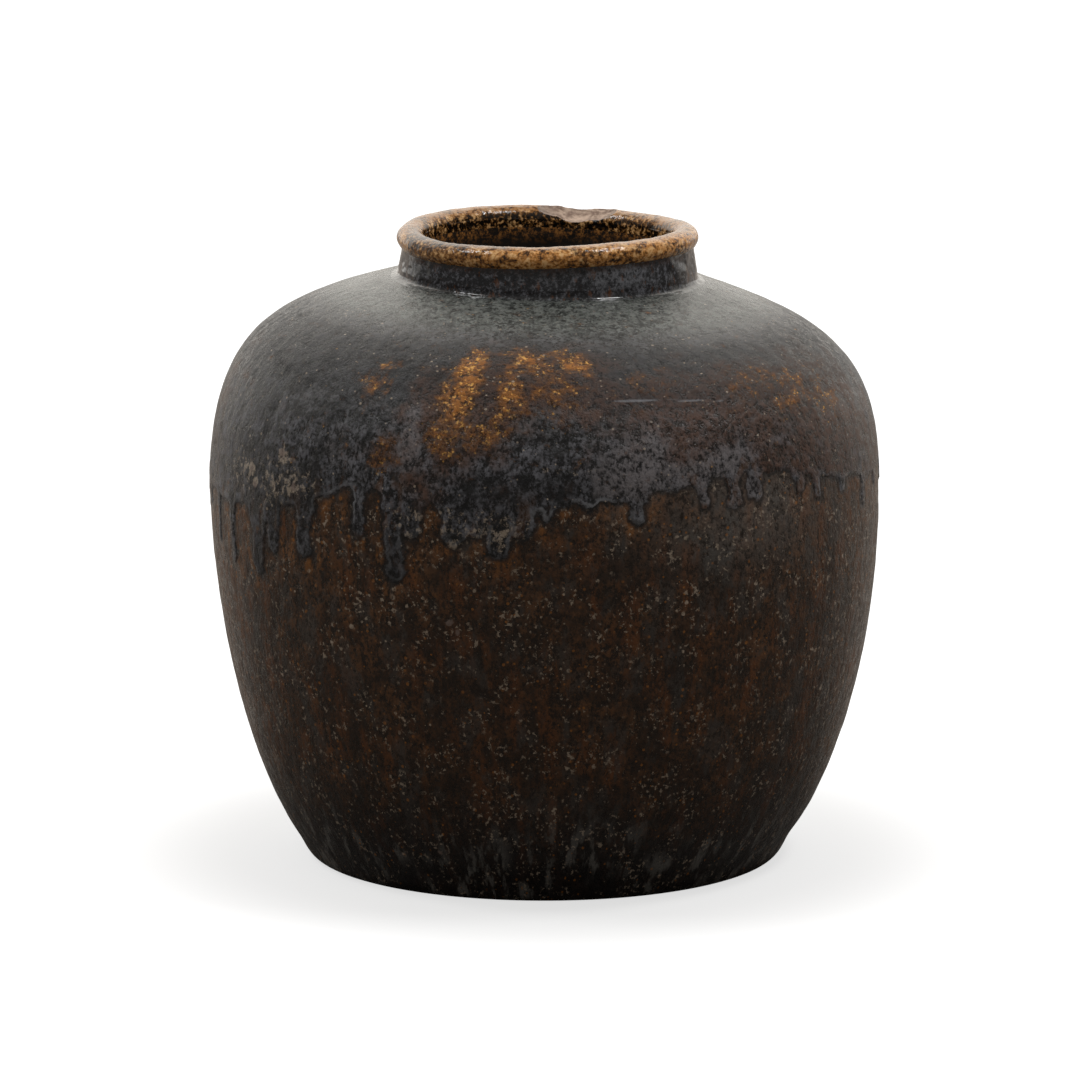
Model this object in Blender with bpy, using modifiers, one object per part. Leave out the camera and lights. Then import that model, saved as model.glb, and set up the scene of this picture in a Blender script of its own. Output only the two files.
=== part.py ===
"""Glazed stoneware storage jar, built up the way a potter builds it.

A base disc, a lower wall and a shoulder are thrown apart and luted together at roof-shaped seams. A
short neck and a thick rolled lip close the mouth, and a heavy dark glaze has run down over the girth
in fingers. The firing pulled the jar a little out of true, and the back of the lip is chipped.

Metres, +Z up. The origin is the middle of the foot's face. The front is -Y, and +X is to its right.
"""

import math

import bmesh
import bpy
from mathutils import Vector
from mathutils.geometry import interpolate_bezier

# Clay body: foot, girth and shoulder
FOOT_RADIUS = 0.1122
FOOT_ROUNDING = 0.005
FOOT_RING_WIDTH = 0.014
FOOT_RING_SLOPE_WIDTH = 0.006
FOOT_HOLLOW = 0.002
BASE_HEIGHT = 0.011
BASE_FLARE = 0.0103
BASE_LEAN = math.radians(33.8)
LOWER_SWELL = 0.0516
GIRTH_RADIUS = 0.1646
GIRTH_HEIGHT = 0.1848
SWELL_UNDER_GIRTH = 0.0589
SWELL_OVER_GIRTH = 0.0741
SHOULDER_SWELL = 0.0588
SHOULDER_SLOPE = math.radians(17.6)
SHOULDER_RISE = 0.1017
WALL = 0.008
FLOOR_COVE = 0.006

# Neck and rolled lip
NECK_RADIUS = 0.0731
NECK_FILLET = 0.0040
LIP_RADIUS = 0.0675
NECK_RISE = 0.0202
LIP_HALF_WIDTH = 0.0065
LIP_HALF_HEIGHT = 0.0057
LIP_TUCK = math.radians(53)

# Luted seams: a roof-shaped rim below, the same face above, and the line of slip between them
SLIP_GAP = 0.0003
SEAM_RISE = 0.0016

# Run glaze, which thickens on its way down
GLAZE_THICKNESS = 0.0006
GLAZE_TOE_THICKNESS = 0.0010
GLAZE_LINE_RISE = 0.0182
RUN_FALL = 0.050

# Fingers of glaze seen from the front: bearing from the front and half width in degrees, then the fall
# of the finger's toe and of the notch to its right below the glaze line, as shares of RUN_FALL
FRONT_RUN_SHARES = [
    (-74.3, 1.5, 0.78, 0.33),
    (-66.6, 1.7, 0.90, 0.29),
    (-58.0, 2.3, 0.94, 0.29),
    (-52.2, 1.5, 0.71, 0.20),
    (-44.5, 2.6, 0.68, 0.06),
    (-32.6, 1.9, 0.37, -0.07),
    (-25.6, 2.3, 0.78, 0.00),
    (-15.0, 2.8, 0.34, 0.12),
    (-7.6, 2.2, 0.51, 0.05),
    (0.2, 2.6, 0.13, -0.03),
    (15.3, 2.8, 0.18, -0.14),
    (27.4, 2.0, 0.10, -0.23),
    (35.6, 3.6, 0.08, -0.20),
    (50.5, 2.7, 0.14, -0.02),
    (61.4, 2.6, 0.14, 0.03),
    (70.0, 2.8, 0.38, 0.14),
]

# The back is hidden in every view the fingers were read from, so a rule spreads them there
BACK_RUNS = 19
BACK_START_DEGREES = 81.0
BACK_HALF_WIDTH_DEGREES = (1.9, 1.6)
BACK_TOE_SHARES = (0.15, 0.70)
BACK_NOTCH_SHARES = (-0.20, 0.40)
SPREAD_SHARES = (0.618, 0.755, 0.570)

# Half of one finger's outline: share of its half width out from its middle, and share of its fall
FINGER_SHARES = [(0.0, 1.0), (0.45, 0.93), (0.75, 0.58), (0.95, 0.17), (1.3, 0.0)]

# How the firing left the jar. The tilt is full at one drop below the neck's seat, and fades from the other
SHOULDER_TILT = math.radians(1.8)
TILT_FULL_DROP = 0.0184
TILT_FADE_DROP = 0.0104
MOUTH_DRIFT = 0.0017
BELLY_DRIFT = 0.001
RIM_SADDLE = 0.001
SADDLE_BEARING = math.radians(135)
FOOT_DENT = 0.0015
DENT_HEIGHT = 0.014
DENT_SPREAD = 0.0075
DENT_HALF_ANGLE = math.radians(17)

# The chip, made of overlapping shell-shaped bites: bearing about +Z in degrees and share of the full depth
CHIP_BITES_SHARES = [(86, 0.5), (77, 1.0), (68, 0.65)]
CHIP_BITE_RADIUS = 0.016
CHIP_DEPTH = 0.0056
CHIP_PITCH = math.radians(65)

# Facets
TURN_STEPS = 60
BASE_EDGE_POINTS = 4
LOWER_WALL_POINTS = 9
SHOULDER_POINTS = 9
NECK_FILLET_POINTS = 4
LIP_POINTS = 11
BITE_SEGMENTS = 24
CUT_OVERRUN = 0.01
SMOOTH_ANGLE = math.radians(32)
MERGE_DISTANCE = 0.00001

# Colours are linear, then roughness
FINISHES = {
    "base": ((0.030, 0.023, 0.017, 1.0), 0.75),
    "lower_wall": ((0.022, 0.013, 0.008, 1.0), 0.45),
    "shoulder": ((0.030, 0.022, 0.016, 1.0), 0.40),
    "neck": ((0.012, 0.012, 0.013, 1.0), 0.18),
    "rolled_lip": ((0.200, 0.110, 0.055, 1.0), 0.38),
    "drip_glaze": ((0.016, 0.017, 0.021, 1.0), 0.25),
}

BASE_SEAM_RADIUS = FOOT_RADIUS + BASE_FLARE
SHOULDER_HEIGHT = GIRTH_HEIGHT + SHOULDER_RISE
LIP_HEIGHT = SHOULDER_HEIGHT + NECK_RISE
GLAZE_LINE = GIRTH_HEIGHT + GLAZE_LINE_RISE
TILT_FULL_HEIGHT = SHOULDER_HEIGHT - TILT_FULL_DROP
TILT_FADE_HEIGHT = SHOULDER_HEIGHT - TILT_FADE_DROP
MOUTH_RADIUS = LIP_RADIUS - LIP_HALF_WIDTH
LIP_SEAT_RADIUS = LIP_RADIUS + LIP_HALF_WIDTH * math.cos(LIP_TUCK)
LIP_SEAT_HEIGHT = LIP_HEIGHT - LIP_HALF_HEIGHT * math.sin(LIP_TUCK)
NECK_SEAT_RADIUS = NECK_RADIUS + NECK_FILLET * math.cos(SHOULDER_SLOPE)


def clear_scene():
    for thing in list(bpy.data.objects):
        bpy.data.objects.remove(thing)


def ramp(value, low, high):
    """0 below low, 1 above high, and smooth between them."""
    share = min(max((value - low) / (high - low), 0), 1)
    return share * share * (3 - 2 * share)


def swell(start, start_pull, end_pull, end, count):
    """Points along one curved stretch of an outline."""
    knots = [Vector(point) for point in (start, start_pull, end_pull, end)]
    return [tuple(point) for point in interpolate_bezier(*knots, count)]


def base_edge(count):
    """The outline of the base's edge, from the foot up to the seam."""
    lean_r, lean_z = FOOT_ROUNDING * math.sin(BASE_LEAN), FOOT_ROUNDING * math.cos(BASE_LEAN)
    seam_pull = (BASE_SEAM_RADIUS - lean_r, BASE_HEIGHT - lean_z)
    foot_pull = (FOOT_RADIUS + FOOT_ROUNDING, 0)
    return swell((FOOT_RADIUS, 0), foot_pull, seam_pull, (BASE_SEAM_RADIUS, BASE_HEIGHT), count)


def lower_outline(count):
    """The outline from the base's seam up to the girth."""
    lean_r, lean_z = LOWER_SWELL * math.sin(BASE_LEAN), LOWER_SWELL * math.cos(BASE_LEAN)
    seam_pull = (BASE_SEAM_RADIUS + lean_r, BASE_HEIGHT + lean_z)
    girth = (GIRTH_RADIUS, GIRTH_HEIGHT)
    girth_pull = (GIRTH_RADIUS, GIRTH_HEIGHT - SWELL_UNDER_GIRTH)
    return swell((BASE_SEAM_RADIUS, BASE_HEIGHT), seam_pull, girth_pull, girth, count)


def shoulder_outline(count):
    """The outline from the girth up to the neck's seat."""
    girth_pull = (GIRTH_RADIUS, GIRTH_HEIGHT + SWELL_OVER_GIRTH)
    slope_r = SHOULDER_SWELL * math.cos(SHOULDER_SLOPE)
    slope_z = SHOULDER_SWELL * math.sin(SHOULDER_SLOPE)
    seat_pull = (NECK_SEAT_RADIUS + slope_r, SHOULDER_HEIGHT - slope_z)
    seat = (NECK_SEAT_RADIUS, SHOULDER_HEIGHT)
    return swell((GIRTH_RADIUS, GIRTH_HEIGHT), girth_pull, seat_pull, seat, count)


def offset(points, distance):
    """The same outline moved out square to itself, for points that run upwards on the outer side."""
    moved = []
    for index, (radius, height) in enumerate(points):
        before = Vector(points[max(index - 1, 0)])
        after = Vector(points[min(index + 1, len(points) - 1)])
        along = (after - before).normalized()
        moved.append((radius + along.y * distance, height - along.x * distance))
    return moved


def seam(outer, inner, height):
    """The roof-shaped face of a luted seam, from its outer edge in to its inner edge."""
    return [(outer, height), ((outer + inner) / 2, height + SEAM_RISE), (inner, height)]


def hand_thrown(point):
    """Where the firing left a point of the true turned form."""
    x, y, z = point
    radius, bearing = math.hypot(x, y), math.atan2(y, x)
    tilt_fade = 1 - ramp(z, TILT_FADE_HEIGHT, LIP_SEAT_HEIGHT)
    tilt = SHOULDER_TILT * ramp(z, GIRTH_HEIGHT, TILT_FULL_HEIGHT) * tilt_fade
    saddle = RIM_SADDLE * ramp(z, SHOULDER_HEIGHT, LIP_HEIGHT) * math.cos(2 * (bearing - SADDLE_BEARING))
    drift = MOUTH_DRIFT * ramp(z, GIRTH_HEIGHT, SHOULDER_HEIGHT)
    if z < GIRTH_HEIGHT:
        drift += BELLY_DRIFT * math.sin(math.pi * max(z, 0) / GIRTH_HEIGHT)
    dent_reach = ((z - DENT_HEIGHT) / DENT_SPREAD) ** 2 + (bearing / DENT_HALF_ANGLE) ** 2
    kept = 1 - FOOT_DENT / GIRTH_RADIUS * math.exp(-dent_reach) if radius > FOOT_RADIUS / 2 else 1
    return Vector((x * kept + drift, y * kept, z - math.tan(tilt) * x + saddle))


def turned(profile, steps, closed=True):
    """The mesh of a profile turned about +Z. At +X the profile runs down its outer side."""
    outline = bpy.data.meshes.new("profile")
    links = [(index, index + 1) for index in range(len(profile) - 1)]
    if closed:
        links.append((len(profile) - 1, 0))
    outline.from_pydata([(radius, 0, height) for radius, height in profile], links, [])
    lathe = bpy.data.objects.new("profile", outline)
    bpy.context.scene.collection.objects.link(lathe)
    screw = lathe.modifiers.new("turn", "SCREW")
    screw.steps = screw.render_steps = steps
    screw.use_merge_vertices = True
    screw.merge_threshold = MERGE_DISTANCE
    graph = bpy.context.evaluated_depsgraph_get()
    mesh = bpy.data.meshes.new_from_object(lathe.evaluated_get(graph))
    bpy.data.objects.remove(lathe)
    return mesh


def finish(name):
    colour, roughness = FINISHES[name]
    material = bpy.data.materials.new(name)
    material.use_nodes = True
    shader = material.node_tree.nodes["Principled BSDF"]
    shader.inputs["Base Color"].default_value = colour
    shader.inputs["Roughness"].default_value = roughness
    shader.inputs["Metallic"].default_value = 0
    return material


def place(name, mesh, jar, pieces):
    """A fired piece: the true mesh pulled out of shape by the firing, with its own finish."""
    for vertex in mesh.vertices:
        vertex.co = hand_thrown(vertex.co)
    mesh.name = name
    mesh.materials.clear()
    mesh.materials.append(finish(name))
    mesh.shade_smooth()
    mesh.set_sharp_from_angle(angle=SMOOTH_ANGLE)
    piece = bpy.data.objects.new(name, mesh)
    piece.parent = jar
    pieces.objects.link(piece)
    return piece


def wall_inner_edge():
    """The inner radius of the lower wall where it stands on the base."""
    return offset(lower_outline(LOWER_WALL_POINTS), -WALL)[0][0] - FLOOR_COVE


def base_profile():
    floor_edge = wall_inner_edge()
    rim = seam(BASE_SEAM_RADIUS, floor_edge, BASE_HEIGHT)
    ring_inner = FOOT_RADIUS - FOOT_RING_WIDTH
    underside = [(ring_inner, 0), (ring_inner - FOOT_RING_SLOPE_WIDTH, FOOT_HOLLOW), (0, FOOT_HOLLOW)]
    return [(0, BASE_HEIGHT)] + rim[::-1] + base_edge(BASE_EDGE_POINTS)[-2::-1] + underside


def lower_wall_profile():
    outer = lower_outline(LOWER_WALL_POINTS)
    inner = offset(outer, -WALL)
    bottom = seam(BASE_SEAM_RADIUS, wall_inner_edge(), BASE_HEIGHT + SLIP_GAP)
    top = seam(GIRTH_RADIUS, inner[-1][0], GIRTH_HEIGHT)
    return outer[:0:-1] + bottom + inner[:-1] + top[:0:-1]


def shoulder_profile():
    outer = shoulder_outline(SHOULDER_POINTS)
    inner = offset(outer, -WALL)
    under_r, under_z = inner[-1]
    bore_bottom = under_z + (under_r - MOUTH_RADIUS) * math.tan(SHOULDER_SLOPE)
    bottom = seam(GIRTH_RADIUS, inner[0][0], GIRTH_HEIGHT + SLIP_GAP)
    top = seam(NECK_SEAT_RADIUS, MOUTH_RADIUS, SHOULDER_HEIGHT)
    return outer[:0:-1] + bottom + inner[1:] + [(MOUTH_RADIUS, bore_bottom)] + top[:0:-1]


def neck_profile():
    """A short collar whose fillet runs on from the slope of the shoulder."""
    seat = SHOULDER_HEIGHT + SLIP_GAP
    corner = (NECK_RADIUS, seat + NECK_FILLET * math.sin(SHOULDER_SLOPE))
    fillet_top = (NECK_RADIUS, corner[1] + NECK_FILLET)
    fillet = swell(fillet_top, corner, corner, (NECK_SEAT_RADIUS, seat), NECK_FILLET_POINTS)
    bottom = seam(NECK_SEAT_RADIUS, MOUTH_RADIUS, seat)
    top = seam(LIP_SEAT_RADIUS, MOUTH_RADIUS, LIP_SEAT_HEIGHT)
    return fillet[:-1] + bottom + top[::-1]


def lip_profile():
    """An oval roll, straight down its inner side to the seam with the neck."""
    sweep = math.pi + LIP_TUCK
    roll = []
    for index in range(LIP_POINTS):
        turn = math.pi - sweep * index / (LIP_POINTS - 1)
        radius = LIP_RADIUS + LIP_HALF_WIDTH * math.cos(turn)
        roll.append((radius, LIP_HEIGHT + LIP_HALF_HEIGHT * math.sin(turn)))
    seat = seam(LIP_SEAT_RADIUS, MOUTH_RADIUS, LIP_SEAT_HEIGHT + SLIP_GAP)
    return roll[:-1] + seat


def cut_away(piece, name, mesh, jar, cutters):
    """Cuts the mesh's shape out of a piece, and gives back the cutter."""
    cutter = bpy.data.objects.new(name, mesh)
    cutter.parent = jar
    cutter.hide_render = True
    cutter.display_type = "WIRE"
    cutters.objects.link(cutter)
    cut = piece.modifiers.new(name, "BOOLEAN")
    cut.operation = "DIFFERENCE"
    cut.object = cutter
    return cutter


def chip_lip(lip, jar, cutters):
    """Shell-shaped bites out of the top and the inner side of the lip."""
    for index, (bearing_degrees, depth_share) in enumerate(CHIP_BITES_SHARES):
        reach = CHIP_BITE_RADIUS + LIP_HALF_HEIGHT - CHIP_DEPTH * depth_share
        radius = LIP_RADIUS - reach * math.cos(CHIP_PITCH)
        height = LIP_HEIGHT + reach * math.sin(CHIP_PITCH)
        bearing = math.radians(bearing_degrees)
        ball = bmesh.new()
        bmesh.ops.create_uvsphere(
            ball, u_segments=BITE_SEGMENTS, v_segments=BITE_SEGMENTS // 2, radius=CHIP_BITE_RADIUS
        )
        mesh = bpy.data.meshes.new("bite")
        ball.to_mesh(mesh)
        ball.free()
        bite = cut_away(lip, f"chip_bite_{index + 1}", mesh, jar, cutters)
        bite.location = hand_thrown((radius * math.cos(bearing), radius * math.sin(bearing), height))
        bite.rotation_euler.z = bearing


def glaze_runs():
    """Every finger once round the jar: bearing from the front, half width, toe and notch shares."""
    width_low, width_spread = BACK_HALF_WIDTH_DEGREES
    toe_low, toe_spread = BACK_TOE_SHARES
    notch_low, notch_spread = BACK_NOTCH_SHARES
    hidden = 360 + FRONT_RUN_SHARES[0][0] - BACK_START_DEGREES
    runs = list(FRONT_RUN_SHARES)
    for index in range(BACK_RUNS):
        toe_turn, notch_turn, width_turn = [(index + 1) * share % 1 for share in SPREAD_SHARES]
        bearing = BACK_START_DEGREES + hidden * index / BACK_RUNS
        toe = toe_low + toe_spread * toe_turn
        notch = notch_low + notch_spread * notch_turn
        runs.append((bearing, width_low + width_spread * width_turn, toe, notch))
    return runs


def glaze_edge():
    """The lower edge of the glaze, as pairs of an angle about +Z and a height."""
    runs = glaze_runs()
    edge = []
    for index, (bearing, half_width, toe_share, notch_share) in enumerate(runs):
        left_half = [(-out, fall, runs[index - 1][3]) for out, fall in FINGER_SHARES[:0:-1]]
        right_half = [(out, fall, notch_share) for out, fall in FINGER_SHARES]
        for side, fall, notch in left_half + right_half:
            angle = math.radians((bearing + side * half_width - 90) % 360)
            edge.append((angle, GLAZE_LINE - RUN_FALL * (notch + (toe_share - notch) * fall)))
    return sorted(edge)


def glaze_profile():
    """The coat of glaze as if it ran down alike all round, past the toe of the longest finger."""
    lower = lower_outline(LOWER_WALL_POINTS)
    lowest = GLAZE_LINE - RUN_FALL
    covered = [index for index, (_, height) in enumerate(lower) if height < lowest]
    clay = lower[max(covered[-1] - 1, 0) : -1] + shoulder_outline(SHOULDER_POINTS)
    inner = offset(clay, SLIP_GAP)
    thin = offset(clay, SLIP_GAP + GLAZE_THICKNESS)
    thick = offset(clay, SLIP_GAP + GLAZE_TOE_THICKNESS)
    outer = [
        tuple(Vector(thick_point).lerp(Vector(thin_point), ramp(height, lowest, SHOULDER_HEIGHT)))
        for thin_point, thick_point, (_, height) in zip(thin, thick, clay)
    ]
    inner[-1], outer[-1] = [(radius + SLIP_GAP, height) for radius, height in (inner[-1], outer[-1])]
    return outer[::-1] + inner


def notch_glaze(glaze, jar, cutters):
    """Leaves the fingers of glaze by cutting away what lies under their edge."""
    edge = glaze_edge()
    top = max(height for _, height in edge)
    bottom = GLAZE_LINE - RUN_FALL - GIRTH_HEIGHT / 2
    outer = GIRTH_RADIUS + CUT_OVERRUN
    inner = GIRTH_RADIUS / 2
    mesh = turned([(outer, top), (outer, bottom), (inner, bottom), (inner, top)], len(edge))
    for vertex in mesh.vertices:
        x, y, height = vertex.co
        column = round(math.atan2(y, x) / math.tau * len(edge)) % len(edge)
        angle, edge_height = edge[column]
        radius = math.hypot(x, y)
        vertex.co.x, vertex.co.y = radius * math.cos(angle), radius * math.sin(angle)
        if height > (top + bottom) / 2:
            vertex.co.z = edge_height
    cut_away(glaze, "under_glaze_edge", mesh, jar, cutters)


def build():
    clear_scene()
    pieces = bpy.data.collections.new("storage_jar")
    cutters = bpy.data.collections.new("cutters")
    for collection in (pieces, cutters):
        bpy.context.scene.collection.children.link(collection)
    jar = bpy.data.objects.new("jar", None)
    pieces.objects.link(jar)

    place("base", turned(base_profile(), TURN_STEPS, closed=False), jar, pieces)
    place("lower_wall", turned(lower_wall_profile(), TURN_STEPS), jar, pieces)
    place("shoulder", turned(shoulder_profile(), TURN_STEPS), jar, pieces)
    place("neck", turned(neck_profile(), TURN_STEPS), jar, pieces)
    lip = place("rolled_lip", turned(lip_profile(), TURN_STEPS), jar, pieces)
    chip_lip(lip, jar, cutters)

    glaze = place("drip_glaze", turned(glaze_profile(), TURN_STEPS), jar, pieces)
    notch_glaze(glaze, jar, cutters)


build()
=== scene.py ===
"""The looks of the glazed stoneware storage jar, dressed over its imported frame.

Every surface is laid out by two numbers: the bearing from the front, positive to the right, and the
place along the turned outline, in metres from the foot's edge up the outside, over the lip and down
the inside. The glaze, rust, dust and chips are placed in those two, and the firing's pull comes last.
"""

import math

import bpy
import numpy as np
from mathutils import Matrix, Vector


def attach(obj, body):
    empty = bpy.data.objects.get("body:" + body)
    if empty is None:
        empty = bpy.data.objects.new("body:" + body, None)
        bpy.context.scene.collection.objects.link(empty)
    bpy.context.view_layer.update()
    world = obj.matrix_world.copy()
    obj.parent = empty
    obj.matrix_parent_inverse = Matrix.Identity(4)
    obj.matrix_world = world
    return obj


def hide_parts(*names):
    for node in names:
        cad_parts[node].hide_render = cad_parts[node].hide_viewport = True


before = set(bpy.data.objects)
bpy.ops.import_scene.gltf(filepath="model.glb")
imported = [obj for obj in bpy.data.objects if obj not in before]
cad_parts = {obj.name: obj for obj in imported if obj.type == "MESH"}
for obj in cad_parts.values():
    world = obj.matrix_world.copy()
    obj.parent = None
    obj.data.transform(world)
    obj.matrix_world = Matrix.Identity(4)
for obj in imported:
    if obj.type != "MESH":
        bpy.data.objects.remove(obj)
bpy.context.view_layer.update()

MM = 0.001

# Clay body, as the frame has it
FOOT_RADIUS = 0.1122
FOOT_ROUNDING = 0.005
FOOT_RING_WIDTH = 0.014
FOOT_RING_SLOPE_WIDTH = 0.006
FOOT_HOLLOW = 0.002
BASE_HEIGHT = 0.011
BASE_FLARE = 0.0103
BASE_LEAN = math.radians(33.8)
LOWER_SWELL = 0.0516
GIRTH_RADIUS = 0.1646
GIRTH_HEIGHT = 0.1848
SWELL_UNDER_GIRTH = 0.0589
SWELL_OVER_GIRTH = 0.0741
SHOULDER_SWELL = 0.0588
SHOULDER_SLOPE = math.radians(17.6)
SHOULDER_RISE = 0.1017
WALL = 0.008
FLOOR_COVE = 0.006

# Neck and rolled lip
NECK_RADIUS = 0.0731
NECK_FILLET = 0.0040
LIP_RADIUS = 0.0675
NECK_RISE = 0.0202
LIP_HALF_WIDTH = 0.0065
LIP_HALF_HEIGHT = 0.0057
LIP_TUCK = math.radians(53)
BORE_ROUNDING = 0.006

# How the firing left the jar
SHOULDER_TILT = math.radians(1.8)
TILT_FULL_DROP = 0.0184
TILT_FADE_DROP = 0.0104
MOUTH_DRIFT = 0.0017
BELLY_DRIFT = 0.001
RIM_SADDLE = 0.001
SADDLE_BEARING = math.radians(135)
FOOT_DENT = 0.0015
DENT_HEIGHT = 0.014
DENT_SPREAD = 0.0075
DENT_HALF_ANGLE = math.radians(17)

BASE_SEAM_RADIUS = FOOT_RADIUS + BASE_FLARE
SHOULDER_HEIGHT = GIRTH_HEIGHT + SHOULDER_RISE
LIP_HEIGHT = SHOULDER_HEIGHT + NECK_RISE
TILT_FULL_HEIGHT = SHOULDER_HEIGHT - TILT_FULL_DROP
TILT_FADE_HEIGHT = SHOULDER_HEIGHT - TILT_FADE_DROP
MOUTH_RADIUS = LIP_RADIUS - LIP_HALF_WIDTH
LIP_SEAT_RADIUS = LIP_RADIUS + LIP_HALF_WIDTH * math.cos(LIP_TUCK)
LIP_SEAT_HEIGHT = LIP_HEIGHT - LIP_HALF_HEIGHT * math.sin(LIP_TUCK)
NECK_SEAT_RADIUS = NECK_RADIUS + NECK_FILLET * math.cos(SHOULDER_SLOPE)

# The chip: bites out of the top and the inner side of the lip, bearing about +Z and share of full depth
CHIP_BITES_SHARES = [(86, 0.5), (77, 1.0), (68, 0.65)]
CHIP_BITE_RADIUS = 0.016
CHIP_DEPTH = 0.0056
CHIP_PITCH = math.radians(65)

# Run glaze: its coat and how that thins out at the edge
GLAZE_THICKNESS = 0.0004
COAT_EVENNESS = 0.85
COAT_STRETCH = 1.8
COAT_ROUNDING = 2.2
EDGE_TUCK = 0.0001

# The bead along its edge, which grows from one height down to the other
RUN_BEAD = 0.00022
RUN_BEAD_WIDTH = 0.0022
BEAD_INSET = 0.0016
BEAD_SPREAD = 0.0013
BEAD_HEIGHTS = (0.215, 0.185)
LEAST_BEAD = 0.45

# How its fingers blend, narrow to their toes and reach aside and down
RUN_BLEND = 0.0032
RUN_NARROWING = 0.75
RUN_SIDE_REACH = 0.03
RUN_FALL_REACH = 0.05

# Fingers seen from the front: bearing in degrees, and half widths at root and toe and the toe's height
# in millimetres
FRONT_RUNS = [
    (-81, 3, 1.6, 178),
    (-74.3, 3.8, 2, 164),
    (-66.6, 4.2, 2.7, 158),
    (-57, 12.5, 5.6, 155.5),
    (-52.6, 7, 4.2, 168),
    (-44.4, 9.6, 4.4, 169),
    (-32.7, 3.8, 3.1, 183.5),
    (-25.6, 8, 4.4, 163.5),
    (-22.3, 7.4, 5.6, 185),
    (-15.1, 7.8, 5.8, 182),
    (-11.3, 7.2, 6.4, 188),
    (-7.4, 7.4, 5.6, 178),
    (-3.8, 6.4, 5.4, 188),
    (0.2, 4.6, 3.6, 196.5),
    (7, 9.4, 7, 201.5),
    (15.3, 5.5, 3.4, 194),
    (20.8, 4.7, 4, 208),
    (27.4, 4, 2.5, 198),
    (33.6, 4.6, 4, 198),
    (37.9, 4.6, 4, 199.5),
    (47.9, 4.4, 3.2, 199.6),
    (52.8, 4.2, 2.6, 195),
    (61.4, 5, 3.4, 196),
    (70, 4, 2.6, 184),
    (78, 3.6, 2.2, 190),
]

# Tops of the bare arches between the fingers: bearing in degrees and height in millimetres
FRONT_ARCHES = [
    (-84, 186),
    (-77.5, 188),
    (-70.6, 186.3),
    (-62.1, 188.6),
    (-49, 193),
    (-39.7, 200.2),
    (-35.4, 206.2),
    (-29.3, 206.5),
    (-19.7, 203.2),
    (-13.3, 191.5),
    (-1.9, 200.5),
    (4.1, 204),
    (12.2, 204.3),
    (18.3, 209.5),
    (24.7, 210.2),
    (29.9, 214.4),
    (44.8, 212.9),
    (50.2, 208.3),
    (57, 204.1),
    (64.4, 201.6),
    (74, 198),
]

# The back, hidden in the photograph, where a rule spreads the fingers
BACK_RUNS = 23
BACK_START_DEGREES = 84.0
BACK_END_DEGREES = 272.0
BACK_ROOT = (0.0036, 0.0040)
BACK_TOE = (0.0018, 0.0022)
BACK_TOE_HEIGHT = (0.164, 0.036)
BACK_ARCH_HEIGHT = (0.188, 0.024)
SPREAD_SHARES = (0.618, 0.755, 0.570, 0.819)
BACK_WANDER = 0.4

# Share of the true radius at which throwing rings vary round the jar
RING_SPREAD = 0.25

# Random unevenness: how many waves make it up, and how fine each may be against its length
WAVE_COUNT = 14
WAVE_FINENESS = (0.6, 1.3)

# Unevenness of the surfaces: height, length and seed of each kind
CLAY_WOBBLES = [(0.00012, 0.085, 11), (0.00006, 0.021, 12)]
CLAY_RINGS = [(0.00005, 0.0075, 13)]
CLAY_LUMPS = [(0.00004, 0.0065, 14)]
NECK_LUMPS = [(0.00022, 0.016, 41), (0.00007, 0.005, 42)]
LIP_LUMPS = [(0.00020, 0.019, 51), (0.00008, 0.006, 52), (0.00005, 0.0026, 53)]
RUN_WANDER = [(0.0011, 0.016, 21), (0.0006, 0.0055, 22)]
RUN_RAGGEDNESS = [(0.0007, 0.0070, 23), (0.00045, 0.0026, 24)]
COAT_UNEVENNESS = [(0.25, 0.012, 31)]
CHIP_GRAIN_HEIGHT = 0.00022
CHIP_GRAIN_LENGTH = 0.009
CHIP_GRAIN_SEED = 61
CHIP_GRAIN_SQUEEZE = 3
LUMP_STRETCH = 1.6

# How far a surface is sunk, so that its unevenness never stands outside the solids
CLAY_SINK = 0.00016
NECK_SINK = 0.0001
LIP_SINK = 0.00018

# Where the unevenness fades: places above the foot, lengths below the neck, and lengths from a seam
CLAY_FADE = (0.004, 0.020)
SHOULDER_FADE = (0.012, 0.002)
COAT_FADE = (0.006, 0.0005)
SEAM_FADE = 0.003
LIP_END_FADE = 0.001

# Mesh spacing
COLUMNS = 1320
LIP_COLUMNS = 960
FINE_ROW = 0.0008
CLAY_ROW = 0.0010
PLAIN_ROW = 0.0013
LIP_ROW = 0.0005
INNER_ROW = 0.0030
OUTLINE_STEP = 0.0004
LIP_STEPS = 60
HOLLOW_RINGS = 16

# Lengths above the girth up to which the clay shows and the coat has fine rows
BARE_REACH = 0.040
FINE_REACH = 0.036

# How the coat's outermost vertices are drawn onto its edge
EDGE_NUDGE = 0.0002
EDGE_STEPS = 3
LEAST_STEEPNESS = 0.25

# Studio: lens and place of the camera, which looks level along +Y and slightly down
CAMERA_DISTANCE = 3.8489
CAMERA_HEIGHT = 0.8986
TARGET_HEIGHT = 0.15564
CAMERA_DRIFT = -0.0021
CAMERA_LENS_MM = 265.0
SENSOR_WIDTH_MM = 36.0

# Light: name, place, what it points at, size and power
SOFT_BOXES = [
    ("left_box", (-1.09, -0.13, 1.67), (0, 0, 0.2), (0.52, 0.26), 7.2),
    ("right_box", (0.90, -0.25, 1.84), (0, 0, 0.2), (0.52, 0.26), 10.4),
]

# The room's light towards the jar: direction from, direction to, strength from, strength to
ROOM_FRONT_TO_BACK = (0.24, 0.8, 0.37, 2.10)
ROOM_LEVEL_TO_TOP = (0.2, 0.7, 0.60, 1.05)
ROOM_LEFT_TO_RIGHT = (-1.0, 1.0, 0.98, 0.84)
ROOM_COLOUR = (1.0, 0.955, 0.885)

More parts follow.
